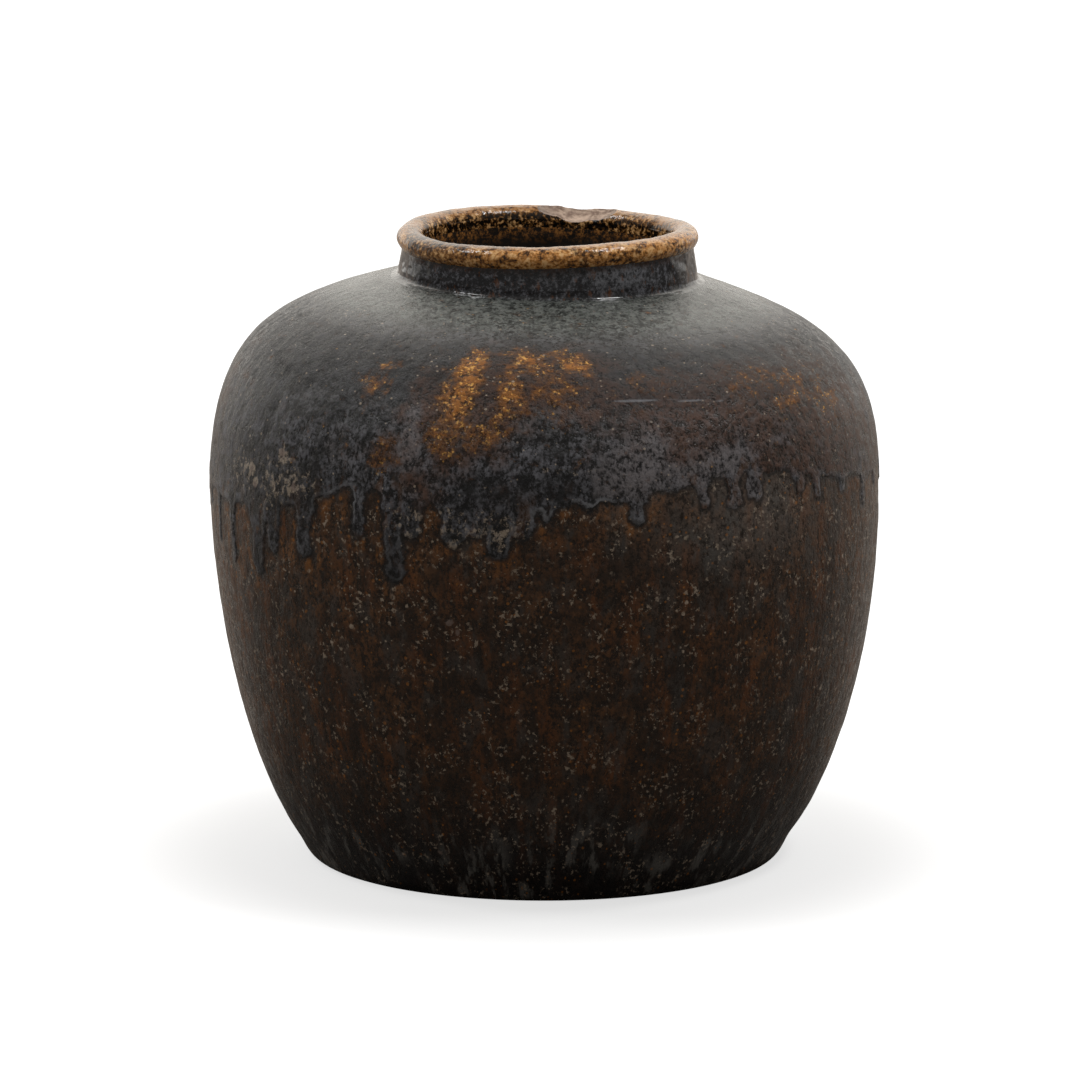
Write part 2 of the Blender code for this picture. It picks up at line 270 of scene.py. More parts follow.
# The floor as the camera sees it: white beyond the shadow
FLOOR_REACH = 6.0
FLOOR_LIT = (0.31, 0.31, 0.31)
FLOOR_GLOW = 0.68
SHADOW_REACH = 0.145
WHITE_REACH = 0.27

# The floor as the jar sees it: dim in front, and from here to there a pale sweep behind
FLOOR_DIM = (0.165, 0.155, 0.145)
SWEEP_FROM_TO = (0.15, 0.85)
SWEEP_GLOW = 0.33
SWEEP_COLOUR = (1.0, 0.88, 0.77)

# Clay and glaze colours, linear
INK = (0.0034, 0.0036, 0.0052)
SLATE = (0.165, 0.166, 0.190)
PALE_SLATE = (0.200, 0.205, 0.225)
ASH_DARK = (0.0058, 0.0058, 0.0066)
ASH = (0.112, 0.112, 0.118)
# Moss grey of the upper shoulder, partly a painted sheen
MOSS_AND_SHEEN_DARK = (0.0150, 0.0180, 0.0170)
MOSS_AND_SHEEN_GREY = (0.160, 0.172, 0.160)
UMBER = (0.0150, 0.0068, 0.0031)
EARTH = (0.1300, 0.0550, 0.0190)
RED_BROWN = (0.150, 0.0480, 0.0090)
SMOKE = (0.052, 0.047, 0.043)
PLUM_DARK = (0.0160, 0.0068, 0.0042)
PLUM = (0.112, 0.058, 0.040)
RUST_DARK = (0.036, 0.0125, 0.0040)
RUST = (0.400, 0.148, 0.022)
GOLD = (0.900, 0.480, 0.110)
BUFF = (0.470, 0.380, 0.295)
PINKISH = (0.200, 0.145, 0.125)
DUST = (0.175, 0.168, 0.158)
CLOUD = (0.195, 0.178, 0.186)
AMBER_DARK = (0.030, 0.0120, 0.0045)
AMBER = (0.640, 0.270, 0.062)
LIP_GOLD = (1.000, 0.620, 0.280)
NECK_GREY = (0.150, 0.154, 0.178)
NECK_INK = (0.0095, 0.0098, 0.0125)
TAN = (0.280, 0.190, 0.125)
BORE_BLACK = (0.0060, 0.0042, 0.0030)
CHIP_DARK = (0.260, 0.180, 0.140)
CHIP_PALE = (0.620, 0.470, 0.370)

# Patterns of soft clouds: size in millimetres, seed, detail, roughness and how far drawn down the wall
NOISES = {
    "ragged_line": (8.5, 1, 5, 0.60, 1),
    "skin_grain": (1.7, 2, 3, 0.70, 1.35),
    "skin_crumb": (4.8, 3, 5, 0.72, 1.35),
    "skin_lumps": (11, 4, 3, 0.55, 1.2),
    "clouds": (26, 11, 4, 0.55, 1.5),
    "blotches": (10, 26, 5, 0.70, 1),
    "streaks": (9, 12, 5, 0.70, 4),
    "streak_zones": (40, 13, 2, 0.55, 1),
    "smoke": (12.5, 14, 5, 0.65, 2),
    "amber": (7, 15, 5, 0.70, 2.5),
    "smears": (7, 17, 5, 0.65, 2.5),
    "smear_zones": (50, 18, 2, 0.55, 1),
    "fleck_zones": (24, 24, 2, 0.55, 1),
    "grit_zones": (16, 21, 4, 0.55, 1),
    "crust": (2.6, 25, 3, 0.70, 1),
    "crust_zones": (15, 22, 4, 0.55, 1),
    "slate": (8.5, 31, 5, 0.72, 1),
    "ash": (12, 40, 5, 0.68, 1),
    "cloudy": (12, 41, 5, 0.68, 1),
    "browned": (14, 32, 5, 0.60, 1),
    "breaks": (9, 45, 5, 0.70, 1),
    "through": (7, 33, 4, 0.55, 2.5),
    "rust": (8, 34, 5, 0.72, 1),
    "gold": (2.2, 35, 2, 0.60, 1),
    "crusted": (3.4, 36, 5, 0.72, 1),
    "rim": (10, 37, 4, 0.55, 1),
    "dark_grit_zones": (18, 39, 2, 0.55, 1),
    "neck_grain": (1.4, 41, 3, 0.70, 1),
    "neck_crumb": (3.4, 42, 4, 0.70, 1),
    "neck_flecks": (3.6, 43, 5, 0.70, 1.8),
    "neck_lumps": (11, 44, 2, 0.55, 1),
    "lip_grain": (1.8, 51, 2, 0.60, 1),
    "lip_crumb": (4.2, 52, 4, 0.68, 1),
    "lip_spots": (12, 53, 5, 0.68, 1),
    "lip_lumps": (6, 54, 3, 0.55, 1),
}

# Kinds of round specks: spacing and radius in millimetres, share of cells that have one, and seed
SPECKS = {
    "rust_flecks": (3.4, 0.80, 0.45, 16),
    "fine_grit": (2.7, 0.58, 0.26, 19),
    "coarse_grit": (7.0, 1.30, 0.20, 20),
    "golden_glints": (2.6, 0.56, 0.34, 42),
    "dark_grit": (3.0, 0.62, 0.30, 38),
}
SMALLEST_SPECK = 0.4
SPECK_CORE = 0.65
SPECK_CUT = 0.01

# How far each seed moves the pattern space, and the shares of that along its axes
NOISE_SHIFT = 0.37
SPECK_SHIFT = 0.53
SHIFT_SHARES = (1.0, 0.7, 1.3)

# Fades by distance from the edge of the run glaze, negative on the glaze
RAGGED_LINE = (0.0060, -0.0029)
GLAZE_LINE_FADE = (0.0005, -0.0007)
RUN_SHADE = (0.0030, 0.0003)
AMBER_REACH = (0.014, 0.001)
THIN_EDGE = (-0.013, -0.001)
# Where the pale rim lies inside the glaze's edge, partly a painted highlight along the bead
RIM_RISE = (-0.0028, -0.0018)
RIM_FALL = (-0.0003, -0.0009)

# Fades by place along the outline
DARK_FOOT = (0.085, 0.020)
DUSTY_FOOT = (0.075, 0.020)
ASH_FROM = (0.232, 0.265)
# Where the moss grey with its painted sheen takes over towards the neck
MOSS_AND_SHEEN_FROM = (0.304, 0.326)
# A ring of painted shade round the middle of the shoulder
SHADE_RING_BAND = ((0.256, 0.272), (0.310, 0.294))
DULL_BAND = ((0.244, 0.270), (0.308, 0.292))
GLOSS_BY_NECK = (0.296, 0.336, 1.0, 0.42)

# Fades on the neck and the lip: lengths from a seam or from the lip's crest
# How far the moss grey with its painted sheen runs up the neck's fillet
MOSS_AND_SHEEN_RISE = 0.0050
MOSS_AND_SHEEN_OVERLAP = 0.0005
LIP_SHADE = 0.0045
BORE_FADE = 0.002
BORE_MOTTLED = (0.014, 0.003)
CREST_SHARE = 0.62
CREST_FADES = ((-0.0065, -0.001), (0.007, 0.003))
LIP_INSIDE = (0.0035, 0.009)
CHIP_FADE = (0.00005, 0.0003)

# Gloss and relief
BROWN_ROUGHNESS = (0.24, 0.50)
DARK_ROUGHNESS = (0.22, 0.52)
NECK_ROUGHNESS = (0.05, 0.14)
BORE_ROUGHNESS = 0.5
LIP_ROUGHNESS = (0.09, 0.22)
CLAY_ROUGHNESS = 0.85
PLAIN_SPECULAR = 0.5
DULL_SPECULAR = 0.25
SKIN_DEPTHS = (0.0011, 0.0010, 0.00022)
NECK_DEPTHS = (0.0008, 0.00005)
LIP_DEPTHS = (0.0006, 0.0003)

# How a patch falls off towards its outline
PATCH_SQUARENESS = 1.3
PATCH_FALL = 0.7


def smooth(value, low, high):
    """0 below low, 1 above high, and smooth between them."""
    share = np.clip((value - low) / (high - low), 0, 1)
    return share * share * (3 - 2 * share)


def swell(start, start_pull, end_pull, end):
    """Points along one curved stretch of an outline, close together."""
    knots = [np.array(point) for point in (start, start_pull, end_pull, end)]
    reach = sum(np.linalg.norm(b - a) for a, b in zip(knots, knots[1:]))
    t = np.linspace(0, 1, max(8, round(reach / OUTLINE_STEP)))[:, None]
    weights = ((1 - t) ** 3, 3 * (1 - t) ** 2 * t, 3 * (1 - t) * t**2, t**3)
    return sum(weight * knot for weight, knot in zip(weights, knots))


def straight(start, end):
    return swell(start, start, end, end)


def inward(points, distance):
    """The same stretch of outline moved square to itself, towards the inside of the jar."""
    along = np.gradient(points, axis=0)
    along /= np.linalg.norm(along, axis=1)[:, None]
    return points + np.stack([-along[:, 1], along[:, 0]], 1) * distance


def outline_stretches():
    """Each stretch of the turned outline by name, from the foot's edge over the lip to the floor."""
    lean = np.array([math.sin(BASE_LEAN), math.cos(BASE_LEAN)])
    foot = (FOOT_RADIUS, 0)
    base_seam = np.array([BASE_SEAM_RADIUS, BASE_HEIGHT])
    girth = np.array([GIRTH_RADIUS, GIRTH_HEIGHT])
    seat = np.array([NECK_SEAT_RADIUS, SHOULDER_HEIGHT])
    slope = np.array([math.cos(SHOULDER_SLOPE), -math.sin(SHOULDER_SLOPE)]) * SHOULDER_SWELL
    corner = (NECK_RADIUS, SHOULDER_HEIGHT + NECK_FILLET * math.sin(SHOULDER_SLOPE))
    fillet_top = (NECK_RADIUS, corner[1] + NECK_FILLET)
    edge = swell(foot, (FOOT_RADIUS + FOOT_ROUNDING, 0), base_seam - lean * FOOT_ROUNDING, base_seam)
    lower = swell(base_seam, base_seam + lean * LOWER_SWELL, girth - (0, SWELL_UNDER_GIRTH), girth)
    upper = swell(girth, girth + (0, SWELL_OVER_GIRTH), seat + slope, seat)
    turns = np.linspace(-LIP_TUCK, math.pi, LIP_STEPS)
    roll_radius = LIP_RADIUS + LIP_HALF_WIDTH * np.cos(turns)
    roll = np.stack([roll_radius, LIP_HEIGHT + LIP_HALF_HEIGHT * np.sin(turns)], 1)
    under_shoulder = inward(upper, WALL)[::-1]
    under_start = under_shoulder[0]
    bore_bottom = under_start[1] + (under_start[0] - MOUTH_RADIUS) * math.tan(SHOULDER_SLOPE)
    bore_end, bore_corner = (MOUTH_RADIUS, bore_bottom + BORE_ROUNDING), (MOUTH_RADIUS, bore_bottom)
    inner_wall = inward(lower, WALL)[::-1]
    inner_wall = inner_wall[inner_wall[:, 1] > BASE_HEIGHT + FLOOR_COVE]
    cove_start = inner_wall[-1]
    cove_corner, cove_pull = (cove_start[0], BASE_HEIGHT), cove_start - (WALL / 2, 0)
    cove_end = (cove_start[0] - FLOOR_COVE - WALL / 2, BASE_HEIGHT)
    return [
        ("edge", edge),
        ("lower", lower),
        ("upper", upper),
        ("fillet", swell(seat, corner, corner, fillet_top)),
        ("neck", straight(fillet_top, (LIP_SEAT_RADIUS, LIP_SEAT_HEIGHT))),
        ("roll", roll),
        ("bore", straight((MOUTH_RADIUS, LIP_HEIGHT), bore_end)),
        ("bore_turn", swell(bore_end, bore_corner, bore_corner, under_start)),
        ("under_shoulder", under_shoulder),
        ("inner_wall", inner_wall),
        ("cove", swell(cove_start, cove_corner, cove_pull, cove_end)),
        ("floor", straight(cove_end, (0, BASE_HEIGHT))),
    ]


class Outline:
    """The turned outline as one line that can be read at any place along it."""

    def __init__(self, stretches):
        points, self.start, self.end = [], {}, {}
        total = 0.0
        for name, stretch in stretches:
            if points and np.linalg.norm(points[-1] - stretch[0]) < OUTLINE_STEP / 10:
                stretch = np.vstack([points[-1], stretch[1:]])
            elif points:
                total += np.linalg.norm(points[-1] - stretch[0])
            self.start[name] = total
            total += np.linalg.norm(np.diff(stretch, axis=0), axis=1).sum()
            self.end[name] = total
            goes_on = len(points) > 0 and np.allclose(points[-1], stretch[0])
            points.extend(stretch[1:] if goes_on else stretch)
        line = np.array(points)
        keep = np.r_[True, np.linalg.norm(np.diff(line, axis=0), axis=1) > OUTLINE_STEP / 1000]
        self.line = line[keep]
        self.place = np.r_[0, np.cumsum(np.linalg.norm(np.diff(self.line, axis=0), axis=1))]
        along = np.gradient(self.line, axis=0)
        along /= np.linalg.norm(along, axis=1)[:, None]
        self.out = np.stack([along[:, 1], -along[:, 0]], 1)

    def at(self, place):
        """Radius, height and the outward direction, as four arrays."""
        columns = (self.line[:, 0], self.line[:, 1], self.out[:, 0], self.out[:, 1])
        return [np.interp(place, self.place, column) for column in columns]

    def rows(self, first, last, spacing):
        """Places from the start of one stretch to the end of another, about spacing apart."""
        return spaced(self.start[first], self.end[last], spacing)


def spaced(first, last, spacing):
    """Places from one to another, evenly and about spacing apart."""
    return np.linspace(first, last, max(3, round(abs(last - first) / spacing) + 1))


OUTLINE = Outline(outline_stretches())
GIRTH_PLACE = OUTLINE.start["upper"]
SEAT_PLACE = OUTLINE.end["upper"]


def waves(bearing, place, length, seed, stretch=1.0, radius=GIRTH_RADIUS):
    """Smooth random height of about -1 to 1, in lumps of the given length, stretched down the wall."""
    draw = np.random.default_rng(seed)
    height = place / stretch
    x, y = radius * np.sin(bearing), radius * np.cos(bearing)
    total = 0.0
    for _ in range(WAVE_COUNT):
        way = draw.normal(size=3)
        way *= math.tau / length / np.linalg.norm(way) * draw.uniform(*WAVE_FINENESS)
        total = total + np.cos(way[0] * x + way[1] * y + way[2] * height + draw.uniform(0, math.tau))
    return total * math.sqrt(2 / WAVE_COUNT) / 2


def uneven(bearing, place, kinds, **shape):
    """Random heights of several kinds on top of each other."""
    return sum(height * waves(bearing, place, length, seed, **shape) for height, length, seed in kinds)


def hand_thrown(x, y, z):
    """Where the firing left points of the true turned form."""
    radius, turn = np.hypot(x, y), np.arctan2(y, x)
    tilt_fade = 1 - smooth(z, TILT_FADE_HEIGHT, LIP_SEAT_HEIGHT)
    tilt = SHOULDER_TILT * smooth(z, GIRTH_HEIGHT, TILT_FULL_HEIGHT) * tilt_fade
    saddle = RIM_SADDLE * smooth(z, SHOULDER_HEIGHT, LIP_HEIGHT) * np.cos(2 * (turn - SADDLE_BEARING))
    belly = np.where(z < GIRTH_HEIGHT, np.sin(math.pi * np.clip(z, 0, GIRTH_HEIGHT) / GIRTH_HEIGHT), 0)
    drift = MOUTH_DRIFT * smooth(z, GIRTH_HEIGHT, SHOULDER_HEIGHT) + BELLY_DRIFT * belly
    dent_reach = ((z - DENT_HEIGHT) / DENT_SPREAD) ** 2 + (turn / DENT_HALF_ANGLE) ** 2
    kept = 1 - FOOT_DENT / GIRTH_RADIUS * np.exp(-dent_reach) * (radius > FOOT_RADIUS / 2)
    return np.stack([x * kept + drift, y * kept, z - np.tan(tilt) * x + saddle], -1)


def fired_ring(bearing, radius, height):
    """Points on the fired jar at a radius and height of the true turned form."""
    return hand_thrown(radius * np.sin(bearing), -radius * np.cos(bearing), height)


def spot(bearing, place, raised):
    """Points on the fired jar, raised by so much off the turned outline."""
    radius, height, out_r, out_z = OUTLINE.at(place)
    return fired_ring(bearing, radius + out_r * raised, height + out_z * raised)


def clay_relief(bearing, place):
    """How the thrown wall stands off its true outline: never outside it, so the jar keeps its size."""
    wobble = uneven(bearing, place, CLAY_WOBBLES)
    rings = uneven(bearing, place, CLAY_RINGS, radius=GIRTH_RADIUS * RING_SPREAD)
    lumps = uneven(bearing, place, CLAY_LUMPS, stretch=LUMP_STRETCH)
    fade = smooth(place, *CLAY_FADE) * below_neck(place, *SHOULDER_FADE)
    return (wobble + rings + lumps - CLAY_SINK) * fade


def below_neck(place, start, end):
    """1 down the wall, and 0 from a little below the neck up."""
    return 1 - smooth(place, SEAT_PLACE - start, SEAT_PLACE - end)


def neck_relief(bearing, place):
    """How the neck's glaze stands off the true outline, never outside it."""
    top = OUTLINE.end["neck"]
    fade = smooth(place, OUTLINE.start["fillet"], OUTLINE.end["fillet"])
    fade = fade * (1 - smooth(place, top - SEAM_FADE, top))
    return (uneven(bearing, place, NECK_LUMPS, radius=NECK_RADIUS) - NECK_SINK) * fade


def lip_relief(bearing, place):
    """How the lip stands off the true outline, never outside it."""
    low, high = OUTLINE.start["roll"], OUTLINE.end["roll"]
    fade = smooth(place, low, low + SEAM_FADE)
    fade = fade * (1 - smooth(place, high - LIP_END_FADE, high + SEAM_FADE))
    return (uneven(bearing, place, LIP_LUMPS, radius=LIP_RADIUS) - LIP_SINK) * fade


def run_tables():
    """Every finger and every arch once round the jar, as arrays."""
    runs = [(bearing, root * MM, toe * MM, height * MM) for bearing, root, toe, height in FRONT_RUNS]
    arches = [(bearing, height * MM) for bearing, height in FRONT_ARCHES]
    step = (BACK_END_DEGREES - BACK_START_DEGREES) / BACK_RUNS
    for index in range(BACK_RUNS):
        turns = [(index + 1) * share % 1 for share in SPREAD_SHARES]
        bearing = BACK_START_DEGREES + step * (index + 0.5 + BACK_WANDER * (turns[3] - 0.5))
        toe_height = BACK_TOE_HEIGHT[0] + BACK_TOE_HEIGHT[1] * turns[0]
        root = BACK_ROOT[0] + BACK_ROOT[1] * turns[1]
        toe = BACK_TOE[0] + BACK_TOE[1] * turns[2]
        runs.append((bearing, root, toe, toe_height))
        arches.append((bearing + step / 2, BACK_ARCH_HEIGHT[0] + BACK_ARCH_HEIGHT[1] * turns[2]))
    arches.sort(key=lambda arch: arch[0])
    return np.array(runs), np.array(arches)


RUNS, ARCHES = run_tables()


def turned_to(bearing, centre_degrees):
    """The bearing measured from a centre, between minus and plus half a turn."""
    return (bearing - math.radians(centre_degrees) + math.pi) % math.tau - math.pi


def curtain_height(bearing):
    """The height of the glaze's edge where no finger runs, by way of the arches' tops."""
    degrees = np.degrees(bearing)
    first = ARCHES[0, 0]
    turned = (degrees - first) % 360 + first
    places = np.r_[ARCHES[:, 0], ARCHES[0, 0] + 360]
    heights = np.r_[ARCHES[:, 1], ARCHES[0, 1]]
    index = np.clip(np.searchsorted(places, turned, side="right") - 1, 0, len(places) - 2)
    share = (turned - places[index]) / (places[index + 1] - places[index])
    share = share * share * (3 - 2 * share)
    return heights[index] * (1 - share) + heights[index + 1] * share


def run_edge(bearing, place):
    """Signed distance to the lower edge of the run glaze, negative where the glaze lies."""
    height = OUTLINE.at(place)[1]
    shift = uneven(bearing, place, RUN_WANDER)
    distance = curtain_height(bearing) - height
    near = np.abs(height - GIRTH_HEIGHT) < RUN_FALL_REACH
    for centre, root, toe, toe_height in RUNS:
        across = turned_to(bearing, centre) * GIRTH_RADIUS
        close = near & (np.abs(across) < RUN_SIDE_REACH)
        if not close.any():
            continue
        side, level = across[close] + shift[close], height[close]
        top = curtain_height(math.radians(centre)) + root
        fall = np.clip((top - level) / (top - toe_height - toe), 0, 1)
        middle = top - fall * (top - toe_height - toe)
        width = root + (toe - root) * smooth(fall, 0.0, RUN_NARROWING)
        finger = np.hypot(side, level - middle) - width
        old = distance[close]
        share = np.clip(0.5 + 0.5 * (finger - old) / RUN_BLEND, 0, 1)
        distance[close] = finger * (1 - share) + old * share - RUN_BLEND * share * (1 - share)
    return distance + uneven(bearing, place, RUN_RAGGEDNESS)


def glaze_thickness(bearing, place, edge):
    """How thick the run glaze lies: a thin coat that swells to a bead along its edge."""
    depth = np.clip(-edge / RUN_BEAD_WIDTH, 0, 1)
    rise = 1 - (1 - depth) ** COAT_ROUNDING
    bead = np.exp(-(((-edge - BEAD_INSET) / BEAD_SPREAD) ** 2))
    finger = smooth(OUTLINE.at(place)[1], *BEAD_HEIGHTS)
    thick = COAT_EVENNESS + uneven(bearing, place, COAT_UNEVENNESS, stretch=COAT_STRETCH)
    coat = GLAZE_THICKNESS * thick * rise
    coat = coat + RUN_BEAD * bead * (LEAST_BEAD + (1 - LEAST_BEAD) * finger)
    return coat * below_neck(place, *COAT_FADE) - EDGE_TUCK * (1 - rise)


def mesh_of(name, points, faces):
    mesh = bpy.data.meshes.new(name)
    mesh.from_pydata(points, [], faces)
    mesh.validate()
    mesh.shade_smooth()
    piece = bpy.data.objects.new(name, mesh)
    bpy.context.scene.collection.objects.link(piece)
    return piece


def put_values(piece, name, values):
    """One value or vector for each vertex, for the materials to read."""
    kind, field = ("FLOAT_VECTOR", "vector") if np.ndim(values) == 2 else ("FLOAT", "value")
    attribute = piece.data.attributes.new(name, kind, "POINT")
    attribute.data.foreach_set(field, np.asarray(values, np.float32).ravel())


def crease(piece, corner_of):
    """Keeps a corner crisp where both ends of an edge lie on the same one, numbered from 1 up."""
    mesh = piece.data
    ends = np.zeros(len(mesh.edges) * 2, np.int32)
    mesh.edges.foreach_get("vertices", ends)
    corners = corner_of[ends.reshape(-1, 2)]
    sharp = mesh.attributes.new("sharp_edge", "BOOLEAN", "EDGE")
    sharp.data.foreach_set("value", (corners[:, 0] == corners[:, 1]) & (corners[:, 0] > 0))


def ring_corners(rows, columns, rings):
    """The corner that each vertex of a turned solid lies on, where rings are the rows that are corners."""
    row = np.repeat(np.arange(rows), columns)
    return np.where(np.isin(row, rings), row + 1, 0)


def lay_out(piece, bearing, place, edge):
    """Writes a surface's pattern space, with streaks downhill, and its distance to the glaze's edge."""
    radius = np.where(place < GIRTH_PLACE, GIRTH_RADIUS, OUTLINE.at(place)[0])
    flow = np.stack([radius * np.sin(bearing), -radius * np.cos(bearing), place], -1)
    put_values(piece, "flow", flow)
    put_values(piece, "run_edge", edge)


def ring_faces(rows, columns, closed):
    """Quads between neighbouring rings of vertices, outward where the outline runs up the outside."""
    count = rows if closed else rows - 1
    row = np.arange(count)[:, None] * columns
    above = (np.arange(count)[:, None] + 1) % rows * columns
    column = np.arange(columns)[None, :]
    beside = (column + 1) % columns
    return np.stack([row + column, row + beside, above + beside, above + column], -1).reshape(-1, 4)


def round_the_jar(columns):
    return np.linspace(0, math.tau, columns, endpoint=False)


def turned_piece(name, outside, inside, columns, relief=clay_relief):
    """A closed turned solid: rows of vertices going up the outside, then rows going down the inside.

    outside and inside are places along the outline. relief gives how far the outside stands off it.
    """
    bearing = round_the_jar(columns)
    points, places = [], []
    for row in np.r_[outside, inside]:
        place = np.full(columns, row)
        raised = relief(bearing, place) if len(points) < len(outside) else 0.0
        points.append(spot(bearing, place, raised))
        places.append(place)
    piece = mesh_of(name, np.concatenate(points), ring_faces(len(points), columns, closed=True))
    corners = [0, len(outside) - 1, len(outside), len(points) - 1]
    crease(piece, ring_corners(len(points), columns, corners))
    turn, place = np.tile(bearing, len(points)), np.concatenate(places)
    lay_out(piece, turn, place, run_edge(turn, place))
    return piece


def make_lower_body():
    outside = OUTLINE.rows("lower", "lower", CLAY_ROW)
    inside = OUTLINE.rows("inner_wall", "cove", INNER_ROW)
    return turned_piece("brown_lower_body", outside, inside, COLUMNS)


def make_shoulder_clay():
    bare = spaced(GIRTH_PLACE, GIRTH_PLACE + BARE_REACH, CLAY_ROW)
    covered = spaced(GIRTH_PLACE + BARE_REACH, SEAT_PLACE, INNER_ROW)[1:]
    inside = OUTLINE.rows("bore_turn", "under_shoulder", INNER_ROW)
    return turned_piece("shoulder_clay", np.r_[bare, covered], inside, COLUMNS)


def make_neck():
    outside = OUTLINE.rows("fillet", "neck", LIP_ROW)
    low, high = OUTLINE.start["bore"], OUTLINE.start["bore_turn"]
    inside = spaced(low + (LIP_HEIGHT - LIP_SEAT_HEIGHT), high, INNER_ROW / 2)
    return turned_piece("dark_neck", outside, inside, LIP_COLUMNS, neck_relief)


def make_lip():
    outside = OUTLINE.rows("roll", "roll", LIP_ROW)
    low = OUTLINE.start["bore"]
    inside = spaced(low, low + (LIP_HEIGHT - LIP_SEAT_HEIGHT), LIP_ROW)[1:]
    piece = turned_piece("golden_lip", outside, inside, LIP_COLUMNS, lip_relief)
    press_chip(piece)
    return piece


def press_chip(piece):
    """Presses the chip out of the back of the lip by the same bites as the clay's."""
    points = np.array([vertex.co for vertex in piece.data.vertices])
    chipped = np.zeros(len(points))
    for index, (turn_degrees, depth_share) in enumerate(CHIP_BITES_SHARES):
        reach = CHIP_BITE_RADIUS + LIP_HALF_HEIGHT - CHIP_DEPTH * depth_share
        radius = LIP_RADIUS - reach * math.cos(CHIP_PITCH)
        height = LIP_HEIGHT + reach * math.sin(CHIP_PITCH)
        turn = math.radians(turn_degrees)
        centre = hand_thrown(radius * math.cos(turn), radius * math.sin(turn), height)
        away = points - centre
        distance = np.linalg.norm(away, axis=1)
        bearing = np.arctan2(points[:, 0], -points[:, 1])
        squeezed = points[:, 2] * CHIP_GRAIN_SQUEEZE
        grain = waves(bearing, squeezed, CHIP_GRAIN_LENGTH, CHIP_GRAIN_SEED + index)
        pushed = np.maximum(CHIP_BITE_RADIUS + CHIP_GRAIN_HEIGHT * grain - distance, 0)
        points += away / distance[:, None] * pushed[:, None]
        chipped += pushed
    piece.data.vertices.foreach_set("co", points.astype(np.float32).ravel())
    put_values(piece, "chipped", chipped)


def make_foot():
    """The base disc: trimmed edge, foot ring, hollowed underside and the floor inside the jar."""
    bearing = round_the_jar(COLUMNS)
    edge = OUTLINE.rows("edge", "edge", FINE_ROW)
    floor = spaced(OUTLINE.start["floor"], OUTLINE.end["floor"] - FOOT_ROUNDING, INNER_ROW * 2)
    ring_inner = FOOT_RADIUS - FOOT_RING_WIDTH
    hollow_start = ring_inner - FOOT_RING_SLOPE_WIDTH
    hollow = np.linspace(hollow_start, FOOT_ROUNDING, HOLLOW_RINGS)
    under = [(ring_inner, 0)] + [(radius, FOOT_HOLLOW) for radius in hollow]
    rings, places = [], []
    for radius, height in under[::-1]:
        rings.append(fired_ring(bearing, radius, np.full(COLUMNS, height)))
        places.append(np.full(COLUMNS, radius - FOOT_RADIUS))
    for row in np.r_[edge, floor]:
        place = np.full(COLUMNS, row)
        rings.append(spot(bearing, place, clay_relief(bearing, place) * (row < FOOT_RADIUS)))
        places.append(place)
    rows = len(rings)
    faces = ring_faces(rows, COLUMNS, closed=False).tolist()
    faces.append(list(range(COLUMNS))[::-1])
    faces.append(list(range((rows - 1) * COLUMNS, rows * COLUMNS)))
    piece = mesh_of("clay_foot", np.concatenate(rings), faces)
    seam = len(under) + len(edge) - 1
    crease(piece, ring_corners(rows, COLUMNS, [len(under), seam, seam + 1]))
    lay_out(piece, np.tile(bearing, rows), np.concatenate(places), np.ones(rows * COLUMNS))
    return piece


def make_run_glaze():
    """The coat of glaze over the shoulder, cut along its own edge into the fingers."""
    lowest = GIRTH_PLACE - (GIRTH_HEIGHT - RUNS[:, 3].min()) - RUN_BEAD_WIDTH * 2
    fine = spaced(lowest, GIRTH_PLACE + FINE_REACH, FINE_ROW)
    plain = spaced(GIRTH_PLACE + FINE_REACH, SEAT_PLACE, PLAIN_ROW)[1:]
    rows = np.r_[fine, plain]
    turn, place = (grid.ravel() for grid in np.meshgrid(round_the_jar(COLUMNS), rows))
    edge = run_edge(turn, place)
    quads = ring_faces(len(rows), COLUMNS, closed=False)
    quads = quads[(edge[quads] < 0).any(1)]
    rim = np.zeros(len(edge), bool)
    rim[quads] = True
    rim &= edge >= 0
    draw_to_edge(turn, place, edge, rim)

    used = np.unique(quads)
    renumber = np.full(len(edge), -1)
    renumber[used] = np.arange(len(used))
    quads, turn, place, edge, rim = renumber[quads], turn[used], place[used], edge[used], rim[used]
    clay = clay_relief(turn, place)
    over = spot(turn, place, clay + glaze_thickness(turn, place, edge))
    under = spot(turn, place, clay - EDGE_TUCK * 2)
    hidden = np.where(rim, np.arange(len(used)), len(used) + np.arange(len(used)))
    faces = np.concatenate([quads, hidden[quads][:, ::-1]])
    piece = mesh_of("dark_run_glaze", np.concatenate([over, under]), faces)
    top = place > SEAT_PLACE - PLAIN_ROW / 2
    close_top(piece, np.flatnonzero(top), len(used))
    crease(piece, np.r_[np.where(rim, 1, np.where(top, 2, 0)), np.where(top, 3, 0)])
    lay_out(piece, np.tile(turn, 2), np.tile(place, 2), np.tile(edge, 2))
    return piece


def draw_to_edge(turn, place, edge, rim):
    """Draws the outermost vertices of the coat onto its true edge, by its slope where they are."""
    for _ in range(EDGE_STEPS):
        b, p, e = turn[rim], place[rim], edge[rim]
        across = (run_edge(b + EDGE_NUDGE / GIRTH_RADIUS, p) - e) / EDGE_NUDGE
        along = (run_edge(b, p + EDGE_NUDGE) - e) / EDGE_NUDGE
        steep = np.maximum(across**2 + along**2, LEAST_STEEPNESS)
        turn[rim] -= e * across / steep / GIRTH_RADIUS
        place[rim] -= e * along / steep
        edge[rim] = run_edge(turn[rim], place[rim])
    edge[rim] = 0


def close_top(piece, ring, offset):
    """Joins the outer and hidden sheets of the coat where it meets the neck."""
    mesh = piece.data
    points = [tuple(vertex.co) for vertex in mesh.vertices]
    faces = [tuple(face.vertices) for face in mesh.polygons]
    for here, beside in zip(ring, np.roll(ring, -1)):
        faces.append((int(here), int(beside), int(beside + offset), int(here + offset)))
    mesh.clear_geometry()
    mesh.from_pydata(points, [], faces)
    mesh.shade_smooth()


